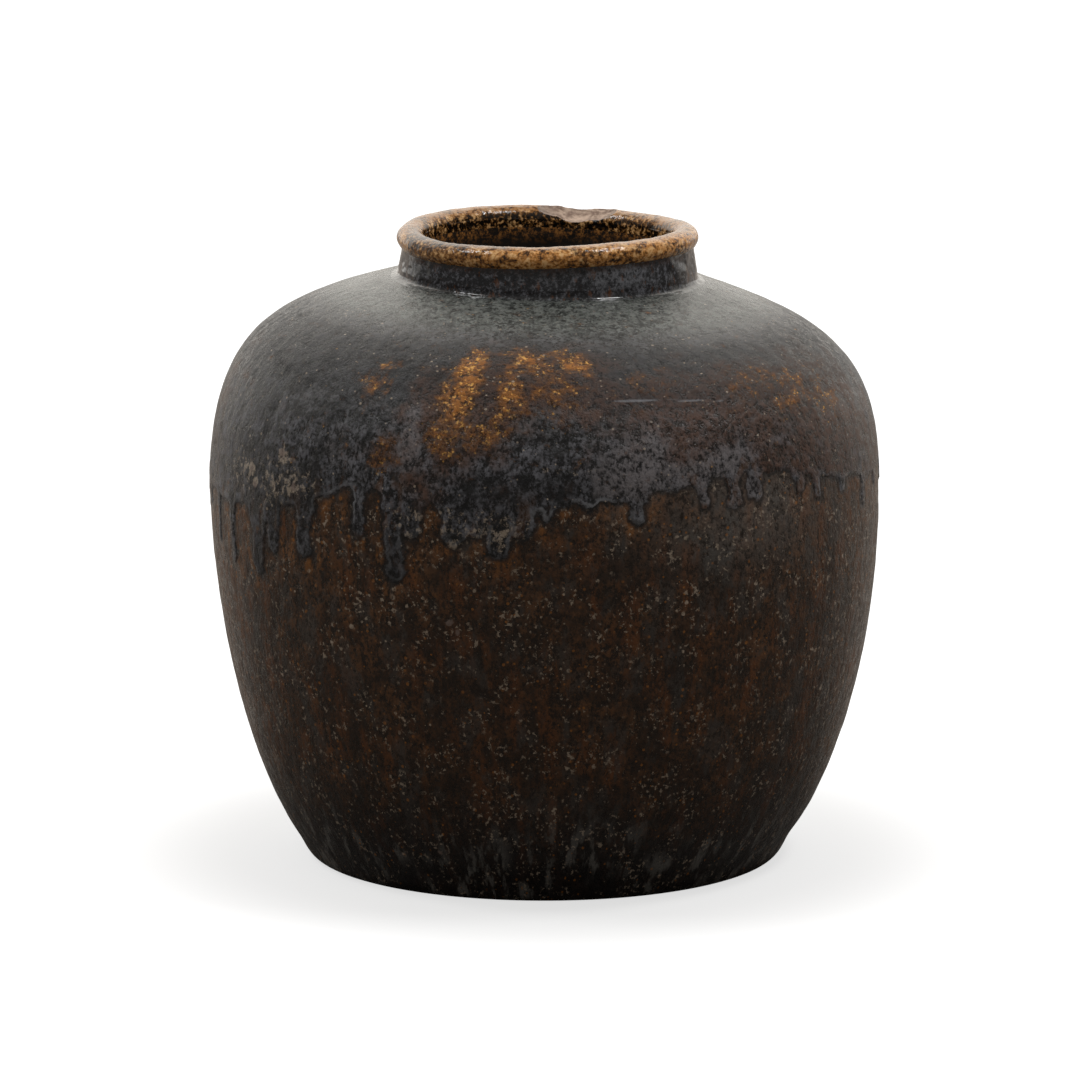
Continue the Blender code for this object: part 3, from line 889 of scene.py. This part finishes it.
class Shading:
    """A node tree that is written as calls, which give back sockets."""

    def __init__(self, owner):
        owner.use_nodes = True
        self.tree = owner.node_tree

    def feed(self, socket, value):
        if isinstance(value, bpy.types.NodeSocket):
            self.tree.links.new(value, socket)
        elif socket.type == "RGBA":
            socket.default_value = (*value, 1)
        else:
            socket.default_value = value

    def node(self, kind, settings, inputs):
        made = self.tree.nodes.new("ShaderNode" + kind)
        for name, value in settings.items():
            setattr(made, name, value)
        for name, value in inputs.items():
            self.feed(made.inputs[name], value)
        return made

    def calc(self, operation, first, second, third=0.0):
        inputs = {0: first, 1: second, 2: third}
        return self.node("Math", {"operation": operation}, inputs).outputs[0]

    def times(self, *values):
        total = values[0]
        for value in values[1:]:
            total = self.calc("MULTIPLY", total, value)
        return total

    def fade(self, value, low, high, start=0.0, end=1.0):
        """start where value is below low, end where it is above high, smooth between them."""
        inputs = {"Value": value, "From Min": low, "From Max": high, "To Min": start, "To Max": end}
        return self.node("MapRange", {"interpolation_type": "SMOOTHSTEP"}, inputs).outputs["Result"]

    def lit(self, colour, glow_colour, glow):
        """A matt surface that also glows."""
        matt = self.node("BsdfDiffuse", {}, {"Color": colour}).outputs[0]
        light = self.node("Emission", {}, {"Color": glow_colour, "Strength": glow}).outputs[0]
        return self.node("AddShader", {}, {0: matt, 1: light}).outputs[0]

    def by_camera(self, seen, unseen, output):
        """Shows one shader to the camera and lets everything else meet the other."""
        straight_on = self.node("LightPath", {}, {}).outputs["Is Camera Ray"]
        picked = self.node("MixShader", {}, {0: straight_on, 1: unseen, 2: seen})
        self.node(output, {}, {"Surface": picked.outputs[0]})


class Finish(Shading):
    """A material of the jar. Its patterns lie in the surface's own space, with lengths in metres."""

    def __init__(self, name):
        self.material = bpy.data.materials.new(name)
        super().__init__(self.material)
        self.shader = self.tree.nodes["Principled BSDF"]
        self.flow = self.read("flow", "Vector")
        self.place = self.node("SeparateXYZ", {}, {0: self.flow}).outputs["Z"]

    def read(self, name, output="Fac"):
        return self.node("Attribute", {"attribute_name": name}, {}).outputs[output]

    def stretched(self, stretch, shift):
        """The pattern space squeezed down the wall, so that a pattern in it is drawn out there."""
        shifts = tuple(shift * share for share in SHIFT_SHARES)
        inputs = {0: self.flow, 1: (1, 1, 1 / stretch), 2: shifts}
        return self.node("VectorMath", {"operation": "MULTIPLY_ADD"}, inputs).outputs[0]

    def noise(self, name):
        """The soft clouds of a named pattern, 0 to 1 and mostly near the middle."""
        size, seed, detail, rough, stretch = NOISES[name]
        vector = self.stretched(stretch, seed * NOISE_SHIFT)
        inputs = {"Vector": vector, "Scale": 1 / (size * MM), "Detail": detail, "Roughness": rough}
        return self.node("TexNoise", {}, inputs).outputs["Fac"]

    def patches(self, name, low, high):
        """A named pattern pulled apart into none and full."""
        return self.fade(self.noise(name), low, high)

    def specks(self, name):
        """Round specks of a named kind and of uneven size, in a share of evenly spaced cells."""
        spacing, radius, share, seed = SPECKS[name]
        inputs = {"Vector": self.stretched(1.0, seed * SPECK_SHIFT), "Scale": 1 / (spacing * MM)}
        cells = self.node("TexVoronoi", {"feature": "F1"}, inputs)
        picked = self.node("SeparateColor", {}, {"Color": cells.outputs["Color"]}).outputs
        size = radius / spacing
        reach = self.calc("MULTIPLY_ADD", picked["Green"], size, size * SMALLEST_SPECK)
        round_part = self.fade(self.calc("DIVIDE", cells.outputs["Distance"], reach), 1.0, SPECK_CORE)
        return self.times(round_part, self.fade(picked["Red"], 1 - share, 1 - share + SPECK_CUT))

    def mixed(self, first, second, share):
        """Two patterns added, the first by this share and the second by the rest."""
        return self.calc("ADD", self.times(first, share), self.times(second, 1 - share))

    def grainy(self, low, high, *ends):
        """A fade over the grain that the finish was given."""
        return self.fade(self.granular, low, high, *ends)

    def partly(self, pattern, weight):
        """A pattern that takes away no more than this weight."""
        return self.calc("MULTIPLY_ADD", pattern, weight, 1 - weight)

    def ragged(self, name, pattern, weight):
        """The strength of the named patches with a pattern added, so that they end raggedly."""
        return self.calc("ADD", self.read(name), self.times(pattern, weight))

    def band(self, rise, fall):
        """Full between two fades along the outline, none outside them."""
        return self.times(self.fade(self.place, *rise), self.fade(self.place, *fall))

    def blend(self, share, first, second):
        """first where share is 0, second where it is 1."""
        made = self.node("Mix", {"data_type": "RGBA"}, {0: share, 6: first, 7: second})
        return made.outputs[2]

    def over(self, colour, coat, *shares):
        """The colour with a coat laid over it, as dense as its shares multiplied."""
        return self.blend(self.times(*shares), colour, coat)

    def relief(self, heights, depths):
        """Reliefs on top of each other. Each has a depth in metres, where its height runs from 0 to 1."""
        normal = None
        for height, depth in zip(heights, depths):
            made = self.node("Bump", {}, {"Height": height, "Distance": depth, "Strength": 1.0})
            if normal is not None:
                self.feed(made.inputs["Normal"], normal)
            normal = made.outputs["Normal"]
        return normal

    def finish(self, colour, roughness, normal, specular=PLAIN_SPECULAR):
        self.feed(self.shader.inputs["Base Color"], colour)
        self.feed(self.shader.inputs["Roughness"], roughness)
        self.feed(self.shader.inputs["Normal"], normal)
        self.feed(self.shader.inputs["Specular IOR Level"], specular)
        return self.material


def jar_skin():
    """The whole wall: brown glaze below, and above a ragged line the dark coat that ran down over it."""
    f = Finish("jar_skin")
    raggedness = f.calc("MULTIPLY_ADD", f.noise("ragged_line"), *RAGGED_LINE)
    edge = f.calc("ADD", f.read("run_edge"), raggedness)
    grain, crumb = f.noise("skin_grain"), f.noise("skin_crumb")
    f.granular = f.mixed(grain, crumb, 0.5)
    glazed = f.fade(edge, *GLAZE_LINE_FADE)
    colour = f.blend(glazed, brown_side(f, edge, grain), dark_side(f, edge))
    colour = f.over(colour, PINKISH, f.fade(f.ragged("marked", crumb, 1.1), 0.95, 1.12), 0.8)

    rough_low = f.grainy(0.42, 0.58, *BROWN_ROUGHNESS)
    rough_high = f.grainy(0.42, 0.58, *DARK_ROUGHNESS)
    rough_high = f.times(rough_high, f.fade(f.place, *GLOSS_BY_NECK))
    rough_low = f.times(rough_low, f.calc("SUBTRACT", 1.0, glazed))
    roughness = f.calc("ADD", f.times(rough_high, glazed), rough_low)
    normal = f.relief([f.noise("skin_lumps"), crumb, grain], SKIN_DEPTHS)
    specular = f.calc("MULTIPLY_ADD", f.band(*DULL_BAND), DULL_SPECULAR - PLAIN_SPECULAR, PLAIN_SPECULAR)
    return f.finish(colour, roughness, normal, specular)


def brown_side(f, edge, grain):
    """Thin brown glaze: mottled, streaked with rust downhill and full of small pale grit."""
    clouds = f.partly(f.patches("clouds", 0.34, 0.62), 0.65)
    blotches = f.partly(f.patches("blotches", 0.42, 0.60), 0.7)
    colour = f.over(UMBER, EARTH, f.grainy(0.42, 0.57), clouds, blotches)
    streaks = f.times(f.patches("streaks", 0.46, 0.66), f.grainy(0.36, 0.56))
    colour = f.over(colour, RED_BROWN, streaks, f.patches("streak_zones", 0.38, 0.56), 0.8)
    colour = f.over(colour, SMOKE, f.patches("smoke", 0.51, 0.62), f.grainy(0.38, 0.54), 0.7)
    colour = f.over(colour, DUST, f.read("cloud_and_glare"), f.grainy(0.36, 0.56), 0.55)
    amber = f.times(f.fade(edge, *AMBER_REACH), f.patches("amber", 0.44, 0.62))
    colour = f.over(colour, RUST, amber, f.grainy(0.38, 0.56), f.read("amber"))
    colour = f.over(colour, INK, f.fade(f.place, *DARK_FOOT), 0.84)
    smears = f.times(f.patches("smears", 0.49, 0.62), f.fade(f.place, *DUSTY_FOOT))
    colour = f.over(colour, DUST, smears, f.patches("smear_zones", 0.38, 0.54), 0.85)
    colour = f.over(colour, RUST, f.specks("rust_flecks"), f.patches("fleck_zones", 0.38, 0.56), 0.6)
    grit = f.calc("ADD", f.specks("fine_grit"), f.specks("coarse_grit"))
    grit = f.times(grit, f.patches("grit_zones", 0.40, 0.60), f.fade(grain, 0.38, 0.56))
    colour = f.over(colour, BUFF, grit, 0.85)
    colour = f.over(colour, BUFF, f.patches("crust", 0.57, 0.64), f.patches("crust_zones", 0.45, 0.58), 0.7)
    return f.over(colour, INK, f.fade(edge, *RUN_SHADE), 0.8)


def dark_side(f, edge):
    """The coat that ran: blue-black and grainy, moss grey with painted sheen on the shoulder, browned and
    rusted in places, with a ring of painted shade and pale rims that are partly painted highlight.
    """
    colour = f.over(INK, SLATE, f.grainy(0.44, 0.58), f.patches("slate", 0.38, 0.55))
    ash = f.over(ASH_DARK, ASH, f.grainy(0.45, 0.58), f.patches("ash", 0.32, 0.58))
    colour = f.over(colour, ash, f.fade(f.place, *ASH_FROM))
    # Moss grey with painted sheen over the upper shoulder
    moss_and_sheen = f.over(MOSS_AND_SHEEN_DARK, MOSS_AND_SHEEN_GREY, f.grainy(0.41, 0.58))
    colour = f.over(colour, moss_and_sheen, f.fade(f.place, *MOSS_AND_SHEEN_FROM))
    cloudy = f.ragged("cloud_and_glare", f.noise("cloudy"), 1.4)
    colour = f.over(colour, CLOUD, f.fade(cloudy, 1.0, 1.5), f.grainy(0.38, 0.60))
    plum = f.over(PLUM_DARK, PLUM, f.grainy(0.42, 0.58))
    browned = f.fade(f.ragged("browned", f.noise("browned"), 1.6), 1.0, 1.5)
    colour = f.over(colour, plum, browned, f.partly(f.patches("breaks", 0.36, 0.52), 0.45))
    colour = f.over(colour, EARTH, f.fade(edge, *THIN_EDGE), f.patches("through", 0.52, 0.66), 0.55)
    # Painted shade: a ring round the middle of the shoulder is darkened with ink
    colour = f.over(colour, INK, f.band(*SHADE_RING_BAND), 0.4)
    colour = f.over(colour, INK, f.read("shaded"), 0.95)
    rusty = f.ragged("rusted", f.noise("rust"), 2.2)
    colour = f.over(colour, RUST_DARK, f.fade(rusty, 1.20, 1.75))
    colour = f.over(colour, RUST, f.fade(rusty, 1.32, 2.10), f.grainy(0.40, 0.56))
    colour = f.over(colour, GOLD, f.fade(rusty, 1.40, 1.90), f.patches("gold", 0.57, 0.65), 0.85)
    colour = f.over(colour, GOLD, f.specks("golden_glints"), f.fade(rusty, 1.22, 1.60), 0.85)
    crusted = f.ragged("crusted", f.noise("crusted"), 1.8)
    colour = f.over(colour, BUFF, f.fade(crusted, 1.32, 1.50), f.grainy(0.40, 0.52), 0.75)
    colour = f.over(colour, PALE_SLATE, f.fade(f.ragged("creased", f.granular, 0.6), 0.62, 1.0), 0.8)
    # Pale rims along the glaze's edge: partly the bead's pale glaze, partly a painted highlight
    rim = f.times(f.fade(edge, *RIM_RISE), f.fade(edge, *RIM_FALL), f.patches("rim", 0.36, 0.54))
    colour = f.over(colour, PALE_SLATE, rim, f.read("pale_rim_and_highlight"))
    return f.over(colour, BUFF, f.specks("dark_grit"), f.patches("dark_grit_zones", 0.38, 0.56), 0.8)


def neck_glaze():
    """Glossy blue-black glaze with red-brown flecks, patches of painted glare and painted shade under the
    lip, and near-black brown down the bore.
    """
    f = Finish("neck_glaze")
    crumb = f.noise("neck_crumb")
    f.granular = f.mixed(f.noise("neck_grain"), crumb, 0.5)
    colour = f.over(NECK_INK, NECK_GREY, f.grainy(0.48, 0.64))
    colour = f.over(colour, RED_BROWN, f.patches("neck_flecks", 0.56, 0.66), 0.6)
    # Painted glare: pale patches where the neck shows broad reflections
    colour = f.over(colour, PALE_SLATE, f.read("cloud_and_glare"), f.grainy(0.38, 0.58), 0.8)
    # The same moss grey with painted sheen runs up onto the fillet
    moss_and_sheen = f.over(MOSS_AND_SHEEN_DARK, MOSS_AND_SHEEN_GREY, f.grainy(0.38, 0.62))
    colour = f.over(colour, moss_and_sheen, f.fade(f.place, SEAT_PLACE + MOSS_AND_SHEEN_RISE, SEAT_PLACE - MOSS_AND_SHEEN_OVERLAP))
    neck_top, bore_top = OUTLINE.end["neck"], OUTLINE.start["bore"]
    # Painted shade under the lip, in dark rust brown
    under_lip_shade = f.fade(f.place, neck_top - LIP_SHADE, neck_top)
    colour = f.over(colour, RUST_DARK, under_lip_shade, f.fade(crumb, 0.4, 0.6))
    upper_bore = f.fade(f.place, bore_top + BORE_MOTTLED[0], bore_top + BORE_MOTTLED[1])
    bore_glaze = f.over(BORE_BLACK, AMBER, upper_bore, f.grainy(0.46, 0.62))
    bore = f.fade(f.place, bore_top - BORE_FADE, bore_top)
    colour = f.over(colour, bore_glaze, bore)
    roughness = f.fade(crumb, 0.3, 0.7, *NECK_ROUGHNESS)
    roughness = f.calc("MAXIMUM", roughness, f.times(bore, BORE_ROUGHNESS))
    return f.finish(colour, roughness, f.relief([f.noise("neck_lumps"), crumb], NECK_DEPTHS))


def lip_glaze():
    """Thin amber glaze over the lip, broken by dark spots, and raw clay where the lip is chipped."""
    f = Finish("lip_glaze")
    fine, crumb = f.noise("lip_grain"), f.noise("lip_crumb")
    f.granular = f.mixed(fine, crumb, 0.42)
    colour = f.over(AMBER_DARK, AMBER, f.grainy(0.37, 0.53))
    colour = f.over(colour, LIP_GOLD, f.grainy(0.49, 0.61), 0.9)
    colour = f.over(colour, AMBER_DARK, f.patches("lip_spots", 0.49, 0.62), f.fade(fine, 0.70, 0.45), 0.9)
    crest = OUTLINE.start["roll"] + (OUTLINE.end["roll"] - OUTLINE.start["roll"]) * CREST_SHARE
    outer, inner = [[crest + offset for offset in fade] for fade in CREST_FADES]
    worn = f.over(colour, TAN, f.grainy(0.38, 0.58))
    colour = f.over(colour, worn, f.band(outer, inner), 0.75)
    inside = f.fade(f.place, crest + LIP_INSIDE[0], crest + LIP_INSIDE[1])
    colour = f.over(colour, BORE_BLACK, inside, f.grainy(0.62, 0.46))
    colour = f.over(colour, INK, f.read("shaded"), f.grainy(0.70, 0.44))
    broken = f.fade(f.read("chipped"), *CHIP_FADE)
    bare = f.times(broken, f.read("bare"))
    colour = f.over(colour, AMBER_DARK, broken, 0.8)
    colour = f.over(colour, f.over(CHIP_DARK, CHIP_PALE, f.fade(crumb, 0.35, 0.65)), bare)
    roughness = f.fade(crumb, 0.3, 0.7, *LIP_ROUGHNESS)
    roughness = f.calc("MAXIMUM", roughness, f.times(bare, CLAY_ROUGHNESS))
    return f.finish(colour, roughness, f.relief([f.noise("lip_lumps"), crumb], LIP_DEPTHS))


# Places that stand out: bearing in degrees, then in millimetres the place, half width and half height,
# and then lean in degrees and strength
PATCHES = {
    "rusted": [
        (-15.6, 282, 7.2, 13, 8, 0.92),
        (-16.6, 266, 8.5, 15, 8, 0.98),
        (-17.6, 250, 10, 12, 4, 0.6),
        (-12.5, 248, 14, 12, 0, 0.44),
        (-4.4, 290, 11, 9, 0, 0.66),
        (5.8, 289, 8.5, 10, 0, 0.64),
        (0.5, 296, 15, 6, 0, 0.44),
        (-6.8, 268, 8.5, 19, 6, 0.58),
        (0.5, 276, 19, 16, 0, 0.44),
        (-33.8, 271, 8, 10, 0, 0.5),
        (-28.4, 235, 8, 10, 0, 0.4),
        (20, 275, 20, 12, 0, 0.24),
        (43.5, 272, 22, 10, 0, 0.42),
        (52, 265, 22, 12, 0, 0.46),
        (62, 258, 18, 16, 0, 0.36),
        (150, 270, 20, 22, 8, 0.6),
        (196, 282, 24, 12, 0, 0.55),
        (240, 262, 14, 20, 0, 0.5),
    ],
    # Pale clouds in the glaze, and on the neck painted glare
    "cloud_and_glare": [
        (16, 232, 26, 18, 0, 0.95),
        (28, 233, 30, 12, 0, 0.95),
        (36, 206, 44, 22, 0, 0.9),
        # These two on the neck are painted glare
        (29, 361, 17, 8, 0, 0.9),
        (6, 361, 26, 8, 0, 0.3),
        (26, 250, 26, 12, 0, 0.85),
        (-23.8, 243, 6, 22, 0, 0.95),
        (-38, 236, 10, 12, 0, 0.55),
        (120, 235, 50, 16, 0, 0.7),
        (225, 238, 50, 18, 0, 0.7),
    ],
    "browned": [
        (-20, 225, 18, 14, 0, 0.55),
        (36, 262, 60, 24, 0, 0.92),
        (60, 250, 50, 36, 0, 0.95),
        (24, 268, 30, 16, 0, 0.5),
        (34, 250, 44, 12, 0, 0.6),
        (48, 233, 44, 14, 0, 0.6),
        (0, 278, 44, 24, 0, 0.8),
        (-15, 264, 26, 32, 0, 0.8),
        (-27, 242, 20, 20, 0, 0.4),
        (-33, 266, 12, 12, 0, 0.35),
        (76, 230, 34, 36, 0, 0.62),
        (-82, 245, 30, 40, 0, 0.45),
        (150, 262, 60, 30, 0, 0.6),
        (205, 272, 60, 24, 0, 0.6),
        (245, 252, 40, 30, 0, 0.5),
    ],
    "crusted": [
        (-50.5, 227.5, 3.8, 4.8, -20, 0.8),
        (-47, 214.5, 3.4, 4.2, 0, 0.74),
        (-59.3, 218, 3, 4, 0, 0.85),
        (-58, 212, 3, 3, 0, 0.8),
        (-36, 210, 7, 3, 20, 0.72),
        (-50, 216, 30, 14, 0, 0.46),
        (-64, 216, 18, 12, 0, 0.42),
        (-19, 205, 26, 12, 0, 0.44),
        (-8, 202, 26, 12, 0, 0.46),
        (-15, 196, 4, 3, 0, 0.85),
        (66, 205, 30, 12, 0, 0.4),
        (3, 232, 18, 2, 0, 0.45),
    ],
    # Where the pale rims, partly painted highlight, show along the fingers
    "pale_rim_and_highlight": [
        (-66, 176, 30, 30, 0, 0.3),
        (-45, 190, 30, 30, 0, 0.3),
        (-36, 212, 12, 8, 0, 0.95),
        (-25, 180, 25, 30, 0, 0.3),
        (-8, 195, 25, 20, 0, 0.45),
        (6, 214, 26, 10, 0, 1),
        (18, 207, 16, 12, 0, 0.6),
        (36, 210, 30, 14, 0, 0.35),
        (62, 205, 40, 16, 0, 0.55),
        (135, 195, 80, 30, 0, 0.55),
        (200, 195, 90, 30, 0, 0.6),
        (260, 190, 60, 30, 0, 0.5),
    ],
    "marked": [
        (-50.8, 228.5, 3, 3.8, -15, 0.62),
        (-47, 215, 2.6, 3, 0, 0.6),
        (-59.4, 218, 2.4, 2.2, 0, 0.6),
        (-58, 211.5, 2.4, 2, 0, 0.58),
        (-36.8, 210, 4, 1.2, 20, 0.58),
        (-14.6, 197.5, 3, 1.8, 10, 0.56),
        (-5.5, 208, 2.4, 1.2, 0, 0.54),
        (-16.4, 158, 3, 2.4, 0, 0.6),
        (-15, 153, 1.4, 2.6, 20, 0.52),
        (-20.8, 110, 3, 1.7, 0, 0.48),
        (29.4, 152, 1.6, 1.6, 0, 0.52),
        (38.7, 109, 1.8, 1.4, 0, 0.48),
        (8.8, 205, 1, 1, 0, 0.55),
        (45, 178, 1.2, 0.9, 0, 0.5),
        (34, 198, 1, 1.3, 0, 0.5),
        (-22.6, 33, 2.8, 1.7, 30, 0.55),
        (-29, 80, 1.3, 1.2, 0, 0.45),
        (150, 130, 2.8, 2.1, 0, 0.55),
        (205, 165, 2.5, 2, 0, 0.52),
        (110, 90, 2.1, 1.6, 0, 0.5),
        (236, 70, 2.5, 2.1, 0, 0.52),
    ],
    "amber": [
        (-52, 192, 80, 30, 0, 0.62),
        (-12, 188, 60, 30, 0, 0.45),
        (8, 192, 50, 30, 0, 0.55),
        (55, 195, 80, 30, 0, 0.22),
        (140, 190, 120, 40, 0, 0.5),
        (220, 185, 120, 40, 0, 0.6),
    ],
    "creased": [
        (16.5, 266.5, 13, 0.8, 0, 0.9),
        (27.5, 265.5, 13, 0.8, 5, 0.8),
        (34, 264.5, 5, 0.7, -12, 0.7),
        (5.5, 239.5, 13, 0.5, 0, 0.5),
        (3.5, 234, 11, 0.5, -3, 0.5),
        (20, 256, 20, 0.5, 3, 0.4),
        (190, 250, 16, 0.7, 4, 0.7),
    ],
    "bare": [
        (166.5, 377, 16.5, 13, 0, 1.6),
    ],
    "shaded": [
        (-57, 170, 20, 26, 0, 0.7),
        (-45, 182, 12, 20, 0, 0.6),
        (-25.6, 180, 14, 22, 0, 0.65),
        (-8, 190, 20, 12, 0, 0.5),
        (-52, 380, 28, 14, 0, 0.95),
        (-68, 386, 20, 14, 0, 0.7),
        (-60, 222, 24, 14, 0, 0.6),
        (-48, 210, 34, 18, 0, 0.7),
        (-6, 220, 30, 10, 0, 0.45),
        (4, 222, 18, 10, 0, 0.5),
    ],
}


def patch_values(name, bearing, place):
    """The strength of the named patches at each point."""
    total = np.zeros(len(bearing))
    for centre, level, half_width, half_height, lean_degrees, strength in PATCHES[name]:
        radius = float(OUTLINE.at(level * MM)[0])
        across, along = turned_to(bearing, centre) * radius, place - level * MM
        lean = math.radians(lean_degrees)
        side = across * math.cos(lean) - along * math.sin(lean)
        rise = across * math.sin(lean) + along * math.cos(lean)
        reach = (side / (half_width * MM)) ** 2 + (rise / (half_height * MM)) ** 2
        total = np.maximum(total, strength * np.exp(-(reach**PATCH_SQUARENESS) * PATCH_FALL))
    return total


def put_patches(piece):
    """Writes every named kind of patch onto a piece, from the pattern space it was given."""
    flow = np.zeros(len(piece.data.vertices) * 3, np.float32)
    piece.data.attributes["flow"].data.foreach_get("vector", flow)
    x, y, place = flow.reshape(-1, 3).T.astype(float)
    bearing = np.arctan2(x, -y)
    for name in PATCHES:
        put_values(piece, name, patch_values(name, bearing, place))


def dress(piece, material, slot, *nodes):
    piece.data.materials.append(material)
    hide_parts(*nodes)
    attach(piece, "root")


def make_jar():
    skin = jar_skin()
    foot, lower, shoulder, coat = make_foot(), make_lower_body(), make_shoulder_clay(), make_run_glaze()
    neck, lip = make_neck(), make_lip()
    for piece in (foot, lower, shoulder, coat, neck, lip):
        put_patches(piece)
    dress(foot, skin, "foot_clay", "base")
    dress(lower, skin, "brown_glaze", "lower_wall")
    dress(shoulder, skin, "shoulder_glaze", "shoulder")
    dress(coat, skin, "run_glaze", "drip_glaze")
    dress(neck, neck_glaze(), "neck_glaze", "neck")
    dress(lip, lip_glaze(), "lip_glaze", "rolled_lip")


def aimed(thing, place, target):
    """Puts a lamp or camera at a place, looking at the target."""
    holder = bpy.data.objects.new(thing.name, thing)
    holder.location = place
    holder.rotation_euler = (Vector(target) - Vector(place)).to_track_quat("-Z", "Y").to_euler()
    bpy.context.scene.collection.objects.link(holder)
    return holder


def make_soft_box(name, place, target, size, power):
    light = bpy.data.lights.new(name, "AREA")
    light.shape = "RECTANGLE"
    light.size, light.size_y = size
    light.energy = power
    aimed(light, place, target)


def make_floor():
    """A pale floor that shows white to the camera, darkened only by the jar's shadow."""
    reach = FLOOR_REACH
    corners = [(-reach, -reach, 0), (reach, -reach, 0), (reach, reach, 0), (-reach, reach, 0)]
    floor = mesh_of("floor", corners, [(0, 1, 2, 3)])
    material = bpy.data.materials.new("floor")
    f = Shading(material)
    f.tree.nodes.clear()
    spot_on_floor = f.node("TexCoord", {}, {}).outputs["Object"]
    away = f.node("VectorMath", {"operation": "LENGTH"}, {0: spot_on_floor}).outputs["Value"]
    seen = f.lit(FLOOR_LIT, (1, 1, 1), f.fade(away, SHADOW_REACH, WHITE_REACH, FLOOR_GLOW, 1.0))
    towards = f.node("VectorMath", {"operation": "NORMALIZE"}, {0: spot_on_floor}).outputs["Vector"]
    behind = f.node("SeparateXYZ", {}, {0: towards}).outputs["Y"]
    unseen = f.lit(FLOOR_DIM, SWEEP_COLOUR, f.fade(behind, *SWEEP_FROM_TO, 0.0, SWEEP_GLOW))
    f.by_camera(seen, unseen, "OutputMaterial")
    floor.data.materials.append(material)


def make_world():
    """White to the camera. To the jar a room, brightest behind and overhead and dimmest in front."""
    world = bpy.data.worlds.new("studio")
    bpy.context.scene.world = world
    f = Shading(world)
    f.tree.nodes.clear()
    direction = f.node("TexCoord", {}, {}).outputs["Generated"]
    way = f.node("SeparateXYZ", {}, {0: direction}).outputs
    depth, height = f.fade(way["Y"], *ROOM_FRONT_TO_BACK), f.fade(way["Z"], *ROOM_LEVEL_TO_TOP)
    strength = f.times(depth, height, f.fade(way["X"], *ROOM_LEFT_TO_RIGHT))
    room = f.node("Background", {}, {"Color": ROOM_COLOUR, "Strength": strength})
    white = f.node("Background", {}, {"Color": (1, 1, 1)})
    f.by_camera(white.outputs[0], room.outputs[0], "OutputWorld")


def make_camera():
    camera = bpy.data.cameras.new("camera")
    camera.lens = CAMERA_LENS_MM
    camera.sensor_width = SENSOR_WIDTH_MM
    place = (CAMERA_DRIFT, -CAMERA_DISTANCE, CAMERA_HEIGHT)
    bpy.context.scene.camera = aimed(camera, place, (CAMERA_DRIFT, 0, TARGET_HEIGHT))


def make_studio():
    make_floor()
    make_world()
    for lamp in SOFT_BOXES:
        make_soft_box(*lamp)
    make_camera()
    bpy.context.scene.view_settings.view_transform = "Standard"


make_jar()
make_studio()
bpy.context.view_layer.update()
